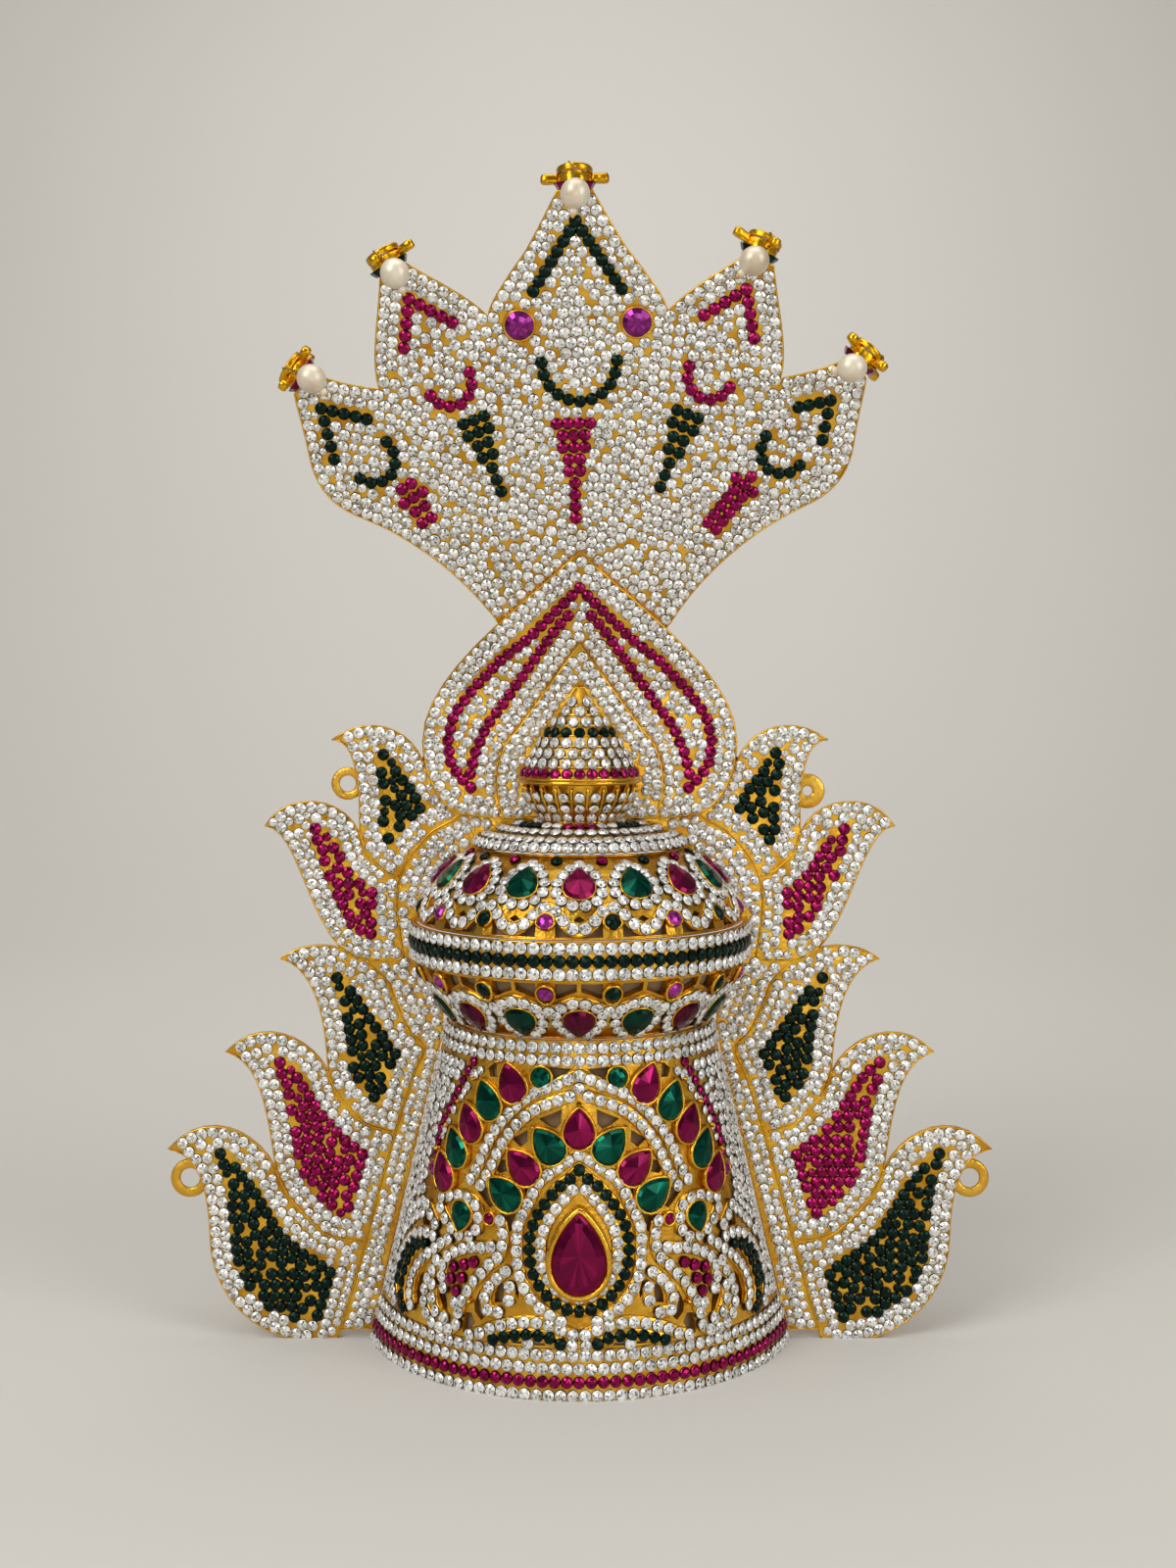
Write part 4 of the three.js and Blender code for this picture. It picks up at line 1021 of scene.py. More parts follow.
for kind, places in bulge_seats.items():
    set_stones(f"bulge_{kind}_rounds", kind, places, 100)
sweep_metal("bulge_strips", bulge_rails, STRIP_SECTION)
cast_relief("bulge_bezels", bulge_bezels)
for seed, ((half, kind), parts) in enumerate(bulge_gems.items(), 101):
    # The bowl's pear stones take the darker tones of painted shade.
    tones = GEM_GLINT_TONES if half == "dome" else PAINTED_SHADE_TONES
    pears = set_gems(f"{half}_{kind}_pears", kind, parts, seed, tones)
    if kind == "ruby":
        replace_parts(pears, f"{half}_pear_ring")
# Painted shade behind the bulge's openings too.
shade_card("bulge_shade_card", [(surface, lambda b: 86, 5, 95) for surface in (on_dome, on_bowl)])
bulge_rims = []
for surface, levels in ((on_bowl, (1, 99)), (on_dome, (1, 99)), (on_collar, (3,)), (on_belt, (2, 98))):
    bulge_rims += [(surface, [(a, b) for a in range(-90, 91, 3)], False) for b in levels]
sweep_metal("bulge_rims", bulge_rims, round_section(0.3))

# ---------------------------------------------------------------- finial
# A half-round spire on a ribbed, waisted cup, soldered to the arch plate. Rows of stones step
# up it to a plain gold tip.

SPIRE_AXIS = 4.5  # the finial's axis lies this far in front of the flank plates
CUP = [(10.6, 146.9), (11.2, 148.6), (13.6, 151.4), (15.2, 154.4), (15.8, 157.6)]
SPIRE = [
    (16.3, 157.9), (16.3, 159.2), (14.2, 163), (11.4, 168.4), (8.2, 172.8), (4.6, 178),
    (1.2, 183.6),
]
SPIRE_ROWS = [
    ("ruby", 160.4), ("clear", 163.1), ("clear", 165.8), ("clear", 168.7), ("emerald", 171.5),
    ("clear", 174.3), ("clear", 177.2), ("clear", 179.8),
]
CUP_ROWS = [(148.4, 2.8), (151.2, 3), (154.2, 3)]
CUP_RIBS = 11
SPIRE_PITCH, SPIRE_STONE = 3.55, 3.15
STEP_OUT, STEP_LEAN = 0.35, 0.3  # the steps of the spire: how far out and how far they lean


def percent_at(profile, z):
    heights = [p[1] for p in profile]
    return float(np.interp(z, heights, np.linspace(0, 100, len(profile))))


on_spire, on_cup = turned(SPIRE, SPIRE_AXIS), turned(CUP, SPIRE_AXIS)
steps = []
finial_seats = {"clear": [], "ruby": [], "emerald": []}
for kind, z in SPIRE_ROWS:
    radius = on_spire(90, percent_at(SPIRE, z)).x
    step = [(radius + STEP_OUT + STEP_LEAN, z - 1), (radius + STEP_OUT - STEP_LEAN, z + 1)]
    on_step = turned(step, SPIRE_AXIS)
    reach = 80 if z < 176 else 64
    steps.append((on_step, [(a, 6) for a in range(-90, 91, 6)], False))
    for a, b in along([(-reach, 50), (reach, 50)], SPIRE_PITCH, on_step, ends=False):
        finial_seats[kind].append((seat(on_step, a, b), SPIRE_STONE))
rib_angles = [180 * ((i + 0.5) / CUP_RIBS - 0.5) for i in range(CUP_RIBS)]
for z, size in CUP_ROWS:
    for degrees in rib_angles:
        finial_seats["clear"].append((seat(on_cup, degrees, percent_at(CUP, z), 0.15), size))
for kind, places in finial_seats.items():
    set_stones(f"finial_{kind}_stones", kind, places, 110)
cup_lines = []
for i in range(CUP_RIBS + 1):
    degrees = 180 * (i / CUP_RIBS - 0.5)
    cup_lines.append((on_cup, [(degrees, b) for b in range(4, 100, 8)], False))
sweep_metal("finial_ribs", cup_lines, round_section(0.5, 0.2))
sweep_metal("finial_steps", steps, round_section(0.5, -0.2))
lips = [
    (surface, [(a, b) for a in range(-90, 91, 4)], False)
    for surface, b in ((on_spire, 1), (on_spire, 13), (on_cup, 2))
]
sweep_metal("finial_lips", lips, round_section(0.6, 0.1))

# ---------------------------------------------------------------- flank plates
# Two flat cast plates of five flame leaves each, soldered behind the body and the bulge. Stones
# are glued over the whole front, between thin raised edges; each leaf has a coloured heart.

LEAN_START, LEAN = 184, 0.367  # above this height the plates lean forward
SLOPE = math.hypot(1, LEAN)
RIM_BEAD, RIM_INSET = 0.3, 0.22  # radius of the raised edge, and how far in it lies
EDGE_GAP = 0.08  # from an edge to the stones beside it
HEART_STONE = 3.25
HEART_FIT = 1.05  # the coloured stones are cut a little wider than their seats
BORDER_ROWS, SEAM_ROWS = (1.76, 4.5), (1.72, -1.72, 4.42, -4.42)
HEART_OVER = -0.8  # a heart's stones may lie this far over its line
HEART_TRIES = 12  # ways each heart is laid, of which the fullest is kept

# Coloured hearts of the leaves, from the top one down.
LEAF_HEARTS = [
    ("emerald", [
        (55.4, 167), (57.3, 161), (57.4, 144.6), (53.4, 138.6), (48.4, 141.6), (43, 147.5),
        (46.5, 155.2), (50.8, 160.2), (53.6, 165),
    ]),
    ("ruby", [
        (75.6, 146.4), (73.8, 136.9), (70.9, 125), (68, 117.2), (58, 111.6), (57.5, 127.8),
        (64.6, 133.8), (70.6, 142),
    ]),
    ("emerald", [
        (69.2, 103.8), (68.2, 93.8), (66.8, 82.4), (64.6, 75.2), (62, 69.6), (54.6, 66.6),
        (49.8, 81.9), (56, 87.6), (62, 96.4), (65.8, 101.8),
    ]),
    ("ruby", [
        (85.4, 80.4), (83.5, 67.3), (81.3, 55.2), (77.6, 44.4), (71.4, 36.5), (65.8, 33.4),
        (62.2, 41.6), (59.8, 52.6), (66, 58.1), (72, 64.2), (79.4, 75.5),
    ]),
    ("emerald", [
        (102, 54.4), (100.3, 37.1), (98.1, 23.2), (93.6, 13.2), (87.4, 8.6), (80.5, 5.6),
        (73.2, 6.2), (70.7, 14.5), (69.1, 20.1), (76.9, 24.9), (83.6, 30.2), (91, 42.9),
        (94.7, 47.5), (99.2, 52.8),
    ]),
]
# Raised seams where one leaf's casting meets the next, and beside the body and the bulge.
LEAF_SEAMS = [
    [(62, 143.3), (60, 137.5), (56.7, 133.9), (53.7, 131.5), (50.8, 130.9)],
    [(67.5, 110.8), (61.7, 107.6), (52.7, 107.1), (49.5, 108.2)],
    [(70.8, 76.2), (68.6, 70.3), (64.9, 65.8), (60.4, 61.3), (52.9, 59)],
    [(85.5, 48.6), (83.2, 43.2), (79.4, 37.9), (74.2, 32.6), (69.7, 29.6), (61, 28.1)],
    [
        (67.9, 1), (63.7, 15.2), (59.8, 29.6), (55.2, 46.9), (51.3, 60.5), (46.7, 74.9),
        (43.8, 82.4), (48.1, 87.7), (52.6, 97.5), (54.1, 101.3), (60.1, 107),
    ],
    [
        (32, 149.5), (36.3, 146.3), (41.7, 143.2), (45.9, 138.7), (48.9, 134.5), (50.8, 129.2),
        (51.4, 122), (50.5, 114.2), (49.5, 108.2),
    ],
]
# What stands in front of the plates and hides them, to one side of the middle.
BULGE_SHADOW = [
    (0, 84), (38.8, 86), (38.2, 92), (41.8, 100.8), (44.6, 105.4), (47.2, 109), (47.2, 119.2),
    (44.7, 123), (42, 127.8), (38.4, 132.2), (34.2, 136), (30.2, 139.6), (29.2, 142.4), (22, 145.4),
    (16, 147.2), (0, 147.4),
]


def develop(z):
    """Distance up a back plate, along its slope where it leans."""
    return z if z < LEAN_START else LEAN_START + (z - LEAN_START) * SLOPE


def plate_surface(front):
    """The front of a back plate: x, the distance up it, and out from it."""

    def surface(x, s, out=0):
        if s <= LEAN_START:
            return Vector((x, front - out, s))
        z = LEAN_START + (s - LEAN_START) / SLOPE
        return Vector((x, front - LEAN * (z - LEAN_START) - out / SLOPE, z - out * LEAN / SLOPE))

    return surface


def front_outline(node):
    """The edge of a plate's front face, in its own flat measure, and where the front lies."""
    face = bmesh.new()
    face.from_mesh(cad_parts[node].data)
    bmesh.ops.remove_doubles(face, verts=face.verts, dist=1e-6)
    front = [f for f in face.faces if f.normal.y < -0.8]
    inside = set(front)
    beside = {}
    for f in front:
        for e in f.edges:
            if sum(g in inside for g in e.link_faces) == 1:
                for v in e.verts:
                    beside.setdefault(v, []).append(e.other_vert(v))
    start = next(iter(beside))
    loop, last, here = [start], None, start
    while True:
        following = [v for v in beside[here] if v is not last][0]
        if following is start:
            break
        loop.append(following)
        last, here = here, following
    spots = [v.co / MM for v in loop]
    face.free()
    level = [p.y - PLATE_FRONT / MM + LEAN * max(0, p.z - LEAN_START) for p in spots]
    return [(p.x, develop(p.z)) for p in spots], sum(level) / len(level)


heart_outline, heart_front = front_outline("heart_plate")
arch_outline, arch_front = front_outline("inner_arch")
hood_outline, hood_front = front_outline("hood_plate")
edge_lines = []
for side_name, side in [("left", -1), ("right", 1)]:
    outline, front = front_outline(f"flank_plate_{side_name}")
    surface = plate_surface(front)
    seats = {"clear": [], "ruby": [], "emerald": []}
    seams = [to_side(rounded(seam), side) for seam in LEAF_SEAMS]
    shadow = [to_side(BULGE_SHADOW, side), heart_outline]
    edges = (outline, EDGE_GAP, shadow, seams)
    clear, colored, hearts = [], [], []
    for by in SEAM_ROWS:
        for seam in seams:
            clear += row_beside(seam, by, edges, clear)
    for by in BORDER_ROWS:
        clear += row_beside(outline, turn_of(outline) * by, edges, clear, True)
    for i, (kind, heart) in enumerate(LEAF_HEARTS):
        heart = (to_side(heart, side), HEART_OVER, (), ())
        ring = turn_of(heart[0]) * (0.5 * HEART_STONE + HEART_OVER)
        stones = row_beside(heart[0], ring, heart, clear, True, HEART_STONE)
        field = field_of(heart)
        draws = range(20 + i, 20 + i + 5 * HEART_TRIES, 5)
        tries = [pave(field, clear + stones, HEART_STONE, draw) for draw in draws]
        stones += max(tries, key=len)
        stones += pave(field, clear + stones, SMALL, 20 + i)
        seats[kind] += [(seat(surface, a, b), HEART_FIT * size) for a, b, size in stones]
        colored += stones
        hearts.append(heart[0])
    around_hearts = (outline, EDGE_GAP, shadow + hearts, seams)
    clear += fill(around_hearts, clear + colored, (), seed=30 + side)
    seats["clear"] += [(seat(surface, a, b), size) for a, b, size in clear]
    for kind, places in seats.items():
        set_stones(f"flank_{kind}_stones_{side_name}", kind, places, 40 + side)
    edge_lines.append((surface, inset(outline, RIM_INSET), True))
    edge_lines += [(surface, seam, False) for seam in seams]
sweep_metal("flank_edges", edge_lines, round_section(RIM_BEAD, 0.1))

# ---------------------------------------------------------------- heart and arch plates
# Two plates stacked in front of the flanks, joined low with the hood: two ruby lines run round
# the heart and meet low on each side, and a gold edge frames the arch behind the finial.

HEART_LINES = [
    [
        (0, 211.2), (7, 204.4), (14.1, 197.5), (22.1, 191.4), (30.2, 182.9), (35.3, 176.1),
        (36.9, 169.3), (36.3, 163.2), (33.8, 159), (30.5, 155.8),
    ],
    [(3.2, 203.6), (6.2, 200.5), (13.3, 190.8), (20.5, 180.4), (26.1, 173), (29.5, 165), (30.7, 159.6)],
]
# The right edge of the finial as it stands in front of the arch, from its tip down.
FINIAL_EDGE = [
    (0.8, 183.8), (4.2, 179), (7.8, 173.8), (11, 169.4), (13.8, 164), (16.4, 160), (16.2, 156),
    (12.2, 149), (9.6, 146),
]
HEART_PITCH, HEART_LINE_STONE, HEART_ROOM = 3.12, 3.35, 3.15  # HEART_ROOM: kept free for each

heart_surface = plate_surface(heart_front)
arch_surface = plate_surface(arch_front)
ruby_seats, taken = [], []
for side in (-1, 1):
    for i, line in enumerate(HEART_LINES):
        points = [(side * a, develop(b)) for a, b in line]
        for k, (a, b) in enumerate(along(points, HEART_PITCH, heart_surface)):
            if side == 1 and i == 0 and k == 0:
                continue
            ruby_seats.append((seat(heart_surface, a, b), HEART_LINE_STONE))
            taken.append((a, b, HEART_ROOM))
set_stones("heart_ruby_stones", "ruby", ruby_seats, 51)
edges = (heart_outline, EDGE_GAP, [arch_outline], ())
rows = [(heart_outline, turn_of(heart_outline) * by, True) for by in BORDER_ROWS]
rows += [(arch_outline, -turn_of(arch_outline) * by, True) for by in BORDER_ROWS]
clear_seats = [(seat(heart_surface, a, b), size) for a, b, size in fill(edges, taken, rows, seed=52)]
set_stones("heart_clear_stones", "clear", clear_seats, 53)
finial_shadow = [(a, develop(b)) for a, b in to_side(FINIAL_EDGE[::-1], -1) + FINIAL_EDGE]
edges = (arch_outline, EDGE_GAP, [finial_shadow], ())
rows = [(arch_outline, turn_of(arch_outline) * by, True) for by in BORDER_ROWS]
clear_seats = [(seat(arch_surface, a, b), size) for a, b, size in fill(edges, [], rows, seed=54)]
set_stones("arch_clear_stones", "clear", clear_seats, 55)
heart_edge = (heart_surface, inset(heart_outline, 0.25), True)
arch_edge = (arch_surface, inset(arch_outline, 0.3), True)
sweep_metal("heart_edges", [heart_edge, arch_edge], round_section(0.36, 0.1))

# ---------------------------------------------------------------- hood
# One cast plate of five serpent heads that leans forward, paved all over. Each head has a
# pointed brow and a curl in coloured stones, and a wedge of them runs down its neck.

HOOD_ROLL, HOOD_ROLL_Z = math.radians(1.5), 200
HOOD_SHIFT = 1.8
EYE_X, EYE_Z, EYE_WIDTH, EYE_RIM = 15.4, 279.4, 7.7, 0.9
HOOD_PITCH, HOOD_STONE, HOOD_APART = 2.95, 3.4, 2.4  # HOOD_APART: least from stone to stone


def curl(x, z, radius, start, end):
    """Points round part of a circle, between two angles in degrees."""
    turns = np.radians(np.linspace(start, end, 9))
    return [(x + radius * math.cos(turn), z + radius * math.sin(turn)) for turn in turns]


def wedge(top, foot, counts):
    """Rows of places across the line from a top to a foot."""
    high, low = Vector(top), Vector(foot)
    down = (low - high).normalized()
    across = Vector((-down.y, down.x)) * HOOD_PITCH
    places = []
    for i, count in enumerate(counts):
        middle = high.lerp(low, i / (len(counts) - 1))
        places += [tuple(middle + (k - 0.5 * (count - 1)) * across) for k in range(count)]
    return places


# Rows on the right half, in the hood's own measure; the left half mirrors them.
HOOD_ROWS = [
    ("emerald", [(0, 304), (11.5, 287.5)]),
    ("emerald", curl(0, 270, 10, 0, -90)),
    ("ruby", [(44, 286.5), (46, 274.5)]),
    ("ruby", [(44, 286.5), (33, 280.5)]),
    ("ruby", curl(34.5, 265.5, 6, -30, -205)),
]
# Rows of the two outer heads, which were laid less alike.
OUTER_ROWS = [
    ("emerald", [(-69, 260), (-57, 257)]),
    ("emerald", [(-69, 260), (-66.5, 247)]),
    ("emerald", curl(-56, 246.5, 6, -130, 50)),
    ("emerald", [(66.5, 258.5), (58, 257)]),
    ("emerald", [(66.5, 258.5), (64.5, 248.5)]),
    ("emerald", curl(54, 246, 6, 140, 320)),
]
# Wedges down the necks: kind, middle of the top, foot, and how many stones each row has.
HOOD_WEDGES = [
    ("ruby", (-2, 254.5), (-2, 230), (4, 3, 3, 2, 2, 1, 1, 1, 1)),
    ("emerald", (-28.5, 256), (-22, 237.5), (3, 3, 2, 2, 1, 1, 1)),
    ("emerald", (28.5, 256), (21, 237.5), (3, 3, 2, 2, 1, 1, 1)),
    ("ruby", (-47.5, 239.5), (-42.5, 230.5), (2, 3, 2, 2)),
    ("ruby", (45.5, 239.5), (35, 227), (1, 3, 2, 2, 2, 2, 2)),
]


def on_hood(x, z):
    """A place of the hood's own measure, turned with it, on its slope."""
    c, s = math.cos(HOOD_ROLL), math.sin(HOOD_ROLL)
    up = z - HOOD_ROLL_Z
    return HOOD_SHIFT + x * c - up * s, develop(HOOD_ROLL_Z + x * s + up * c)


hood_surface = plate_surface(hood_front)
hood_seats = {"ruby": [], "emerald": [], "clear": []}
taken = []


def set_on_hood(kind, x, z):
    """Sets a coloured stone on the hood, unless one is there already."""
    a, b = on_hood(x, z)
    if all(math.hypot(a - p, b - q) > HOOD_APART for p, q, _ in taken):
        taken.append((a, b, STONE))
        hood_seats[kind].append((seat(hood_surface, a, b), HOOD_STONE))


rows = [(kind, to_side(line, side)) for side in (-1, 1) for kind, line in HOOD_ROWS]
for kind, line in rows + OUTER_ROWS:
    for a, b in along(line, HOOD_PITCH, lambda x, z, out: Vector((x, 0, z))):
        set_on_hood(kind, a, b)
for kind, *where in HOOD_WEDGES:
    for a, b in wedge(*where):
        set_on_hood(kind, a, b)
eyes = [(*on_hood(side * EYE_X, EYE_Z), EYE_WIDTH + EYE_RIM) for side in (-1, 1)]
edges = (hood_outline, EDGE_GAP, [heart_outline], ())
rows = [(hood_outline, turn_of(hood_outline) * by, True) for by in BORDER_ROWS]
for a, b, size in fill(edges, taken + eyes, rows, seed=61, tight=0.15):
    hood_seats["clear"].append((seat(hood_surface, a, b), size))
for kind, places in hood_seats.items():
    set_stones(f"hood_{kind}_stones", kind, places, 62)
hood_edge = (hood_surface, inset(hood_outline, RIM_INSET), True)
sweep_metal("hood_edge", [hood_edge], round_section(RIM_BEAD, 0.1))

# ---------------------------------------------------------------- eyes of the middle head
# Two round violet stones, cut in wedges round a small table, each in a thin gold bezel.

EYE_CUT = [(None, 0.5), (0, 0.5), (0, 1.1), (1.3, 1.9), (2.6, 2.15), (None, 2.2)]
EYE_BEZEL = [(-0.5, 0), (-0.46, 1), (-0.2, 1.35), (0.08, 1.15), (0.1, 0.5), (0.1, 0)]
eye_charts = [chart(hood_surface, *on_hood(side * EYE_X, EYE_Z)) for side in (-1, 1)]
for eye_name, place in zip(("hood_eye_left", "hood_eye_right"), eye_charts):
    eye_parts = [(place, round_line(EYE_WIDTH, 16), EYE_CUT)]
    eye = set_gems(f"{eye_name}_stone", "violet", eye_parts, 63)
    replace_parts(eye, eye_name)
cast_relief("hood_eye_bezels", [(place, round_line(EYE_WIDTH, 24), EYE_BEZEL) for place in eye_charts])

# ---------------------------------------------------------------- rosettes and pearls
# On each of the hood's tips stands a small cast cup with three lugs, a plain ring on them and a
# faceted stone under it. A brass wire hooked over the ring's lip holds an imitation pearl.

# Tips: place on the hood, how far the rosette turns outward, round its own axis and back, where
# the wire crosses the ring, and which way the pearl's seeds point.
TIPS = [
    (-72.4, 267.9, -56, -133, -3, -4, 43), (-47.9, 293.6, -29, -110, -2, -8, 24),
    (0.1, 311.3, 0, 0, 8, -4, -6), (46.6, 294.2, 27, 112, 7, 22, -45),
    (73, 267.3, 45, -135, 5, 68, -82),
]
LUG_SIDE = [(8.6, 0.95), (7.9, 1.35), (6.6, 1.2), (5, 1), (3.2, 1.05)]
LUG = [(x, -y) for x, y in LUG_SIDE[::-1]] + [(8.85, 0)] + LUG_SIDE
LUG_EDGE = [
    (None, 0), (0.4, 0), (0.1, 0.2), (0, 0.7), (0.04, 1.8), (0.25, 2.18), (0.6, 2.28), (None, 2.25),
]
CUP_WIDTH, FLUTES, FLUTE_DEPTH = 8.9, 9, 0.12
CUP_EDGE = [
    (None, 0), (0.3, 0), (0.05, 0.16), (0, 0.7), (0.06, 1.75), (0.25, 1.95), (0.6, 1.9),
    (0.85, 1.2), (None, 1.1),
]
CUP_HEIGHT, SKIRT = 1.95, 0.4  # the cup reaches lower in front, by this much of its depth
COLLET_WIDTH = 9.3
COLLET = [
    (0.12, 2.1), (0, 2.18), (-0.04, 2.4), (0.07, 2.5), (-0.02, 2.62), (-0.05, 3.5), (0.06, 3.72),
    (0.32, 3.8), (0.62, 3.72), (0.75, 3.5), (0.75, 2.25), (0.6, 2.1),
]
TIP_STONE, TIP_STONE_CUT = 10.8, [(None, -0.25), (0, -0.25), (0, 0.2), (0.95, 1.6), (None, 1.72)]
PLATE_MIDDLE, STAND, STONE_TILT = 0.8, 1.9, math.radians(12)
PEARL, PEARL_LONG, PEARL_DROP, PEARL_FORWARD = 3.75, 1.05, 3.4, 10
SEED_PEARL, SEED_BEAD = (1.1, 4.6), (0.5, 5.8)  # radius, and distance from the pearl's middle
WIRE, WIRE_SLANT = 0.23, 0.42  # radius of the brass wire, and how far its hook leans
HOOK = [(-3.45, 2.4), (-3.5, 3.5), (-4.1, 4.05), (-4.8, 3.75), (-5.3, 2.7), (-5.7, 1.4)]
ROSETTE_GILT = gilding(
    "rosette_gilt", gold=(0.86, 0.5, 0.02), deep=(0.62, 0.27, 0.006), dull=0.24, grain=0.22
)
BRASS_WIRE = gilding(
    "brass_wire", gold=(0.42, 0.27, 0.05), deep=(0.2, 0.11, 0.02), dull=0.34, grain=0.1
)


def nacre():
    """Imitation pearl: cream lacquer with a faint warm and grey cloud under a satin coat."""
    pearl = bpy.data.materials.new("pearl_nacre")
    pearl.use_nodes = True
    nodes, links = pearl.node_tree.nodes, pearl.node_tree.links
    shader = nodes["Principled BSDF"]
    shader.inputs["Coat Weight"].default_value = 0.25
    shader.inputs["Coat Roughness"].default_value = 0.32
    shader.inputs["Metallic"].default_value = 0.25
    place = nodes.new("ShaderNodeTexCoord")
    cloud = nodes.new("ShaderNodeTexNoise")
    cloud.inputs["Scale"].default_value = 150
    cloud.inputs["Detail"].default_value = 4
    links.new(place.outputs["Object"], cloud.inputs["Vector"])
    tint = nodes.new("ShaderNodeValToRGB")
    tint.color_ramp.elements[0].position = 0.35
    tint.color_ramp.elements[0].color = (0.62, 0.5, 0.34, 1)
    tint.color_ramp.elements[1].position = 0.62
    tint.color_ramp.elements[1].color = (0.8, 0.72, 0.56, 1)
    tint.color_ramp.elements.new(0.5).color = (0.76, 0.65, 0.49, 1)
    links.new(cloud.outputs["Fac"], tint.inputs["Fac"])
    links.new(tint.outputs["Color"], shader.inputs["Base Color"])
    satin = nodes.new("ShaderNodeMapRange")
    satin.inputs["To Min"].default_value = 0.3
    satin.inputs["To Max"].default_value = 0.46
    links.new(cloud.outputs["Fac"], satin.inputs["Value"])
    links.new(satin.outputs[0], shader.inputs["Roughness"])
    skin = nodes.new("ShaderNodeBump")
    skin.inputs["Distance"].default_value = 0.0001
    skin.inputs["Strength"].default_value = 0.3
    links.new(cloud.outputs["Fac"], skin.inputs["Height"])
    links.new(skin.outputs["Normal"], shader.inputs["Normal"])
    return pearl


NACRE = nacre()


def in_place(matrix):
    """A flat place with height, carried by a matrix."""
    return lambda x, y, out: matrix @ Vector((x, y, out))


def skirted(matrix):
    """The cup's place: its foot slopes down towards the front."""
    return lambda x, y, out: matrix @ Vector((x, y, out + SKIRT * y * (1 - out / CUP_HEIGHT)))


def hook_plane(matrix):
    """A leaning upright plane through an axis, from front to back."""
    return lambda a, b, out: matrix @ Vector((out - WIRE_SLANT * (b - HOOK[-1][1]), a, b))


def twist(start, end, turns, phase):
    """One strand's surface round a straight twist: percent along it, and distance from it."""
    run = end - start
    side = run.cross(Vector((1, 0, 0))).normalized()
    other = run.normalized().cross(side)

    def surface(percent, radius, out=0):
        a = 2 * math.pi * turns * percent / 100 + phase
        spoke = math.cos(a) * side + math.sin(a) * other
        return start + run * percent / 100 + (radius + out) * spoke

    return surface


def ball(name, middle, down, beads, material):
    """Beads of (radius, distance down the axis, length for width), as one piece."""
    form = bmesh.new()
    for radius, away, long in beads:
        made = bmesh.ops.create_uvsphere(form, u_segments=36, v_segments=22, radius=radius)["verts"]
        bmesh.ops.scale(form, verts=made, vec=(1, 1, long))
        bmesh.ops.translate(form, verts=made, vec=(0, 0, -away))
    bmesh.ops.transform(form, verts=form.verts, matrix=Matrix.Translation(middle) @ down)
    return place_piece(name, finished(name, form), material, True)


fluted = []
for x, y in round_line(CUP_WIDTH, 54):
    ripple = 1 + FLUTE_DEPTH / CUP_WIDTH * math.cos(FLUTES * math.atan2(x, y))
    fluted.append((x * ripple, y * ripple))
for i, (x, z, turn, spin, tilt, hook_turn, hang) in enumerate(TIPS, 1):
    foot = hood_surface(*on_hood(x, z)) + Vector((0, PLATE_MIDDLE, 0))
    place = Matrix.Translation(foot) @ Matrix.Rotation(math.radians(turn) - HOOD_ROLL, 4, "Y")
    setting = place @ Matrix.Translation((0, 0, STAND)) @ Matrix.Rotation(-math.radians(tilt), 4, "X")
    flat = in_place(setting)
    turns = [Matrix.Rotation(math.radians(spin + 90 * k), 4, "Z") for k in range(3)]
    parts = [(in_place(setting @ lug_turn), LUG, LUG_EDGE) for lug_turn in turns]
    parts.append((skirted(setting), fluted, CUP_EDGE))
    parts.append((flat, round_line(COLLET_WIDTH, 44), COLLET + COLLET[:1]))
    name = f"rosette_{i}_casting"
    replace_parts(place_piece(name, lofted(name, parts), ROSETTE_GILT, True), f"rosette_{i}")
    turned_over = Matrix.Rotation(math.pi + STONE_TILT, 4, "X")
    under = in_place(place @ Matrix.Translation((0, 0, STAND)) @ turned_over)
    tip_stone = [(under, round_line(TIP_STONE, 12), TIP_STONE_CUT)]
    set_gems(f"rosette_{i}_stone", "ruby" if i % 2 else "emerald", tip_stone, 64 + i)

    # The wire hooks over the ring, and its two ends are twisted together down to the pearl.
    crossing = setting @ Matrix.Rotation(math.radians(hook_turn), 4, "Z")
    pearl_middle = place @ Vector((0, -PEARL_FORWARD, -PEARL_DROP))
    knot = crossing @ Vector((0, *HOOK[-1]))
    hole = pearl_middle + (knot - pearl_middle).normalized() * (PEARL - 0.2)
    strands = [
        (twist(knot, hole, 2, phase), [(p, 0.2) for p in range(0, 101, 4)], False)
        for phase in (0, math.pi)
    ]
    strands.append((hook_plane(crossing), rounded(HOOK, 0.3), False))
    sweep_metal(f"pearl_wire_{i}", strands, round_section(WIRE), BRASS_WIRE)
    down = Matrix.Rotation(-math.radians(hang), 4, "Y")
    beads = [(PEARL, 0, PEARL_LONG), (*SEED_PEARL, 1)]
    pearl = ball(f"pearl_{i}_bead", pearl_middle, down, beads, NACRE)
    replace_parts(pearl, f"pearl_{i}")
    ball(f"pearl_{i}_end", pearl_middle, down, [(*SEED_BEAD, 0.9)], ROSETTE_GILT)

# ---------------------------------------------------------------- tie loops
# Flat rings of gilded strip soldered behind the leaves, for the cords that hold the crown on.

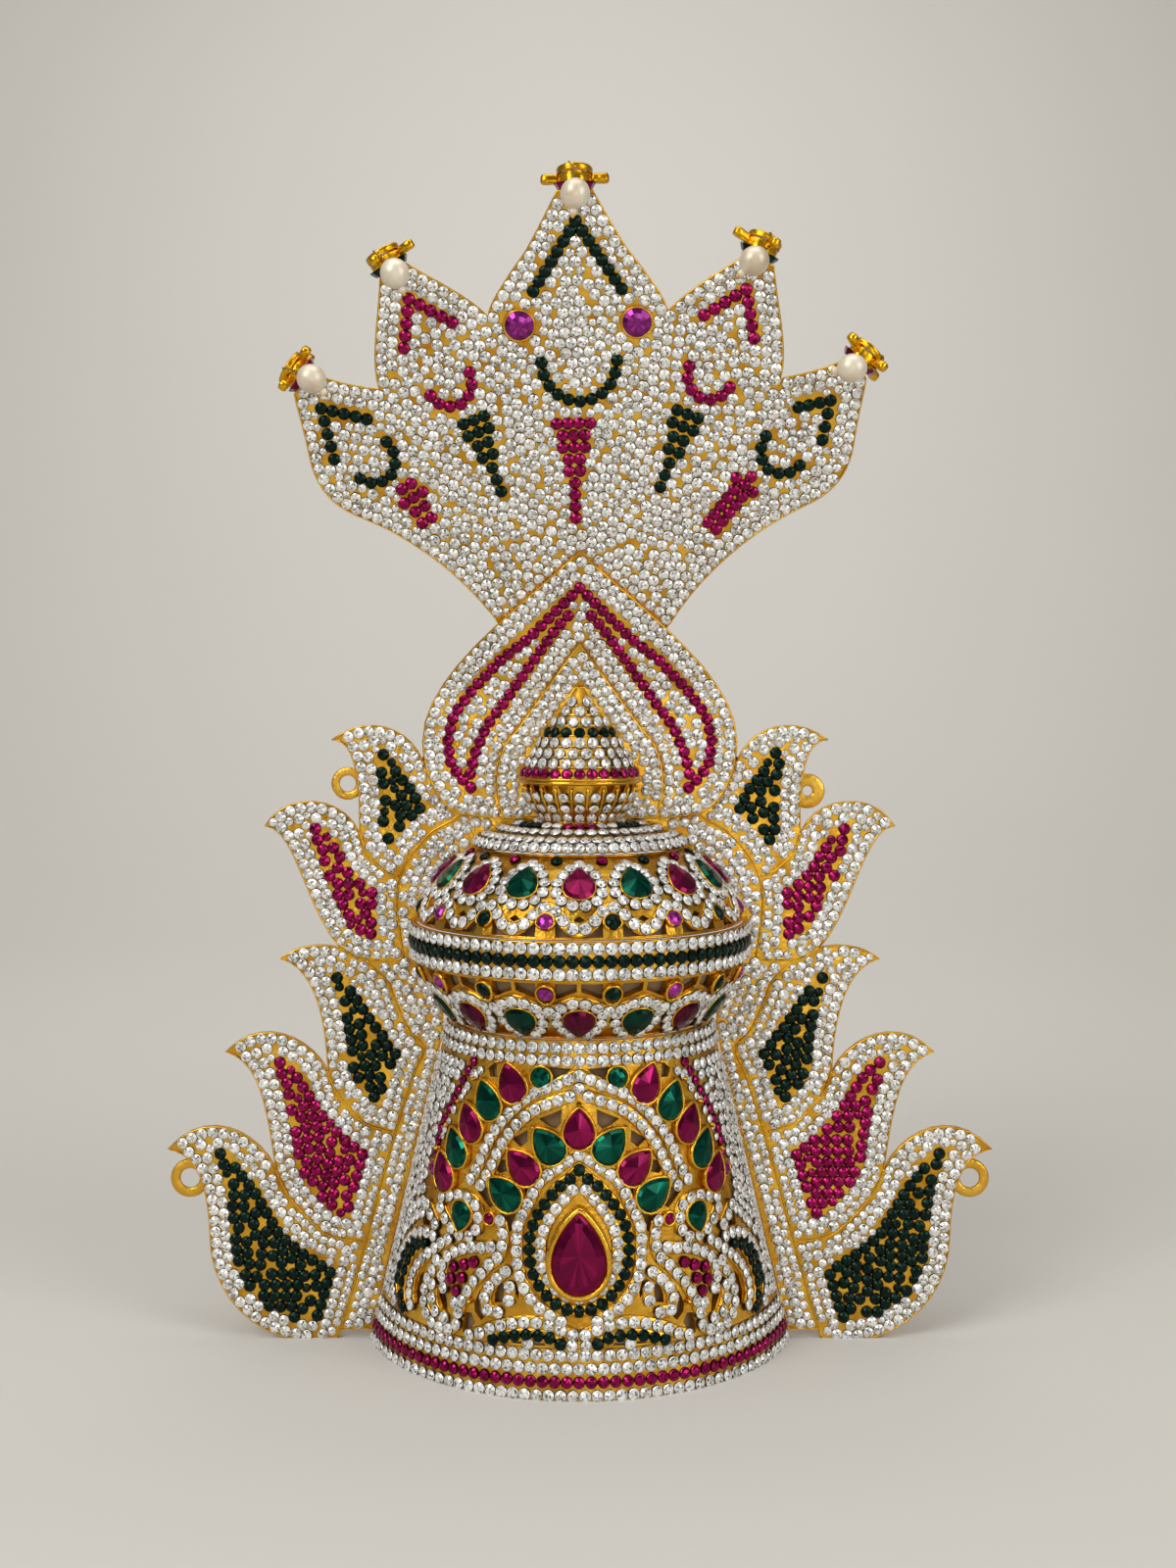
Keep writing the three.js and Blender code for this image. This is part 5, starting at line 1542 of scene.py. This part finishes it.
TIE_LOOPS = [
    # name, middle of the ring, outer and inner radius, how far the tab reaches
    ("tie_loop_upper_left", -65.5, 156.7, 4.6, 2.3, 8),
    ("tie_loop_upper_right", 64.2, 154.6, 4.9, 1.4, -8),
    ("tie_loop_lower_left", -110, 45.4, 5.4, 2.75, 10),
    ("tie_loop_lower_right", 110, 45.4, 5.4, 2.75, -10),
]
LOOP_GILT = gilding(
    "loop_gilt", gold=(0.84, 0.5, 0.07), deep=(0.66, 0.34, 0.03), dull=0.36, grain=0.5
)
LOOP_BEHIND = 1.9  # from the front of the flank plates to the front of the loops
loop_surface = plate_surface(LOOP_BEHIND)


def strap_section(half, thick):
    """A flat strip's section with softened edges, behind the plates."""
    edge = 0.35
    corners = [(-half, -edge), (-half, -thick + edge), (-half + edge, -thick), (half - edge, -thick)]
    corners += [(half, -thick + edge), (half, -edge), (half - edge, 0), (-half + edge, 0)]
    return corners


for name, x, z, outer, inner, tab in TIE_LOOPS:
    middle, half = 0.5 * (outer + inner), 0.5 * (outer - inner)
    turns = np.arange(0, 2 * math.pi, math.pi / 20)
    ring = [(x + middle * math.sin(a), z + middle * math.cos(a)) for a in turns]
    rail = [(loop_surface, ring, True)]
    loop = sweep_metal(f"{name}_ring", rail, strap_section(half, 1.4), LOOP_GILT)
    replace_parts(loop, name)
    near = x + math.copysign(outer - 0.5, tab)
    rail = [(loop_surface, [(near, z), (x + tab, z)], False)]
    sweep_metal(f"{name}_strap", rail, strap_section(2.4, 1.3), LOOP_GILT)

# ---------------------------------------------------------------- solder seams
# Lumpy beads of gilded solder on the back, where the hood stands on the heart plate, where the
# two flanks meet, and where they are joined to the heart plate.

SHEET = 1.6  # thickness of the plates
SOLDER_PITCH = 1.7
SOLDER_BEAD = [(0, 0), (0.02, 0.35), (0.45, 0.8), (None, 1)]
# Lines on the back, as x and height: plate front, and the points of the seam.
SOLDER_LINES = [
    (heart_front, [(-19, 197.5), (-11.4, 187.6), (14, 187.6), (21, 196)]),
    (heart_front, [(-43, 163.6), (43, 163.6)]),
    (0, [(0, 139), (0, 162)]),
]
SOLDER = gilding(
    "gilded_solder", gold=(0.72, 0.47, 0.1), deep=(0.42, 0.26, 0.06), dull=0.42, grain=0.6
)


def behind(front):
    """The back of a plate, seen from behind."""
    surface = plate_surface(front + SHEET)
    return lambda a, b, out=0: surface(-a, b, -out)


draw = random.Random(7)
lumps = []
for front, line in SOLDER_LINES:
    back = behind(front)
    mirrored = [(-x, develop(z)) for x, z in line]
    for a, b in along(mirrored, SOLDER_PITCH, back):
        width, height = draw.uniform(2, 3), draw.uniform(0.5, 0.9)
        levels = [(by, out * height) for by, out in SOLDER_BEAD]
        lumps.append((chart(back, a, b + draw.uniform(-0.25, 0.25)), round_line(width, 10), levels))
place_piece("solder_seams", lofted("solder_seams", lumps), SOLDER, True)
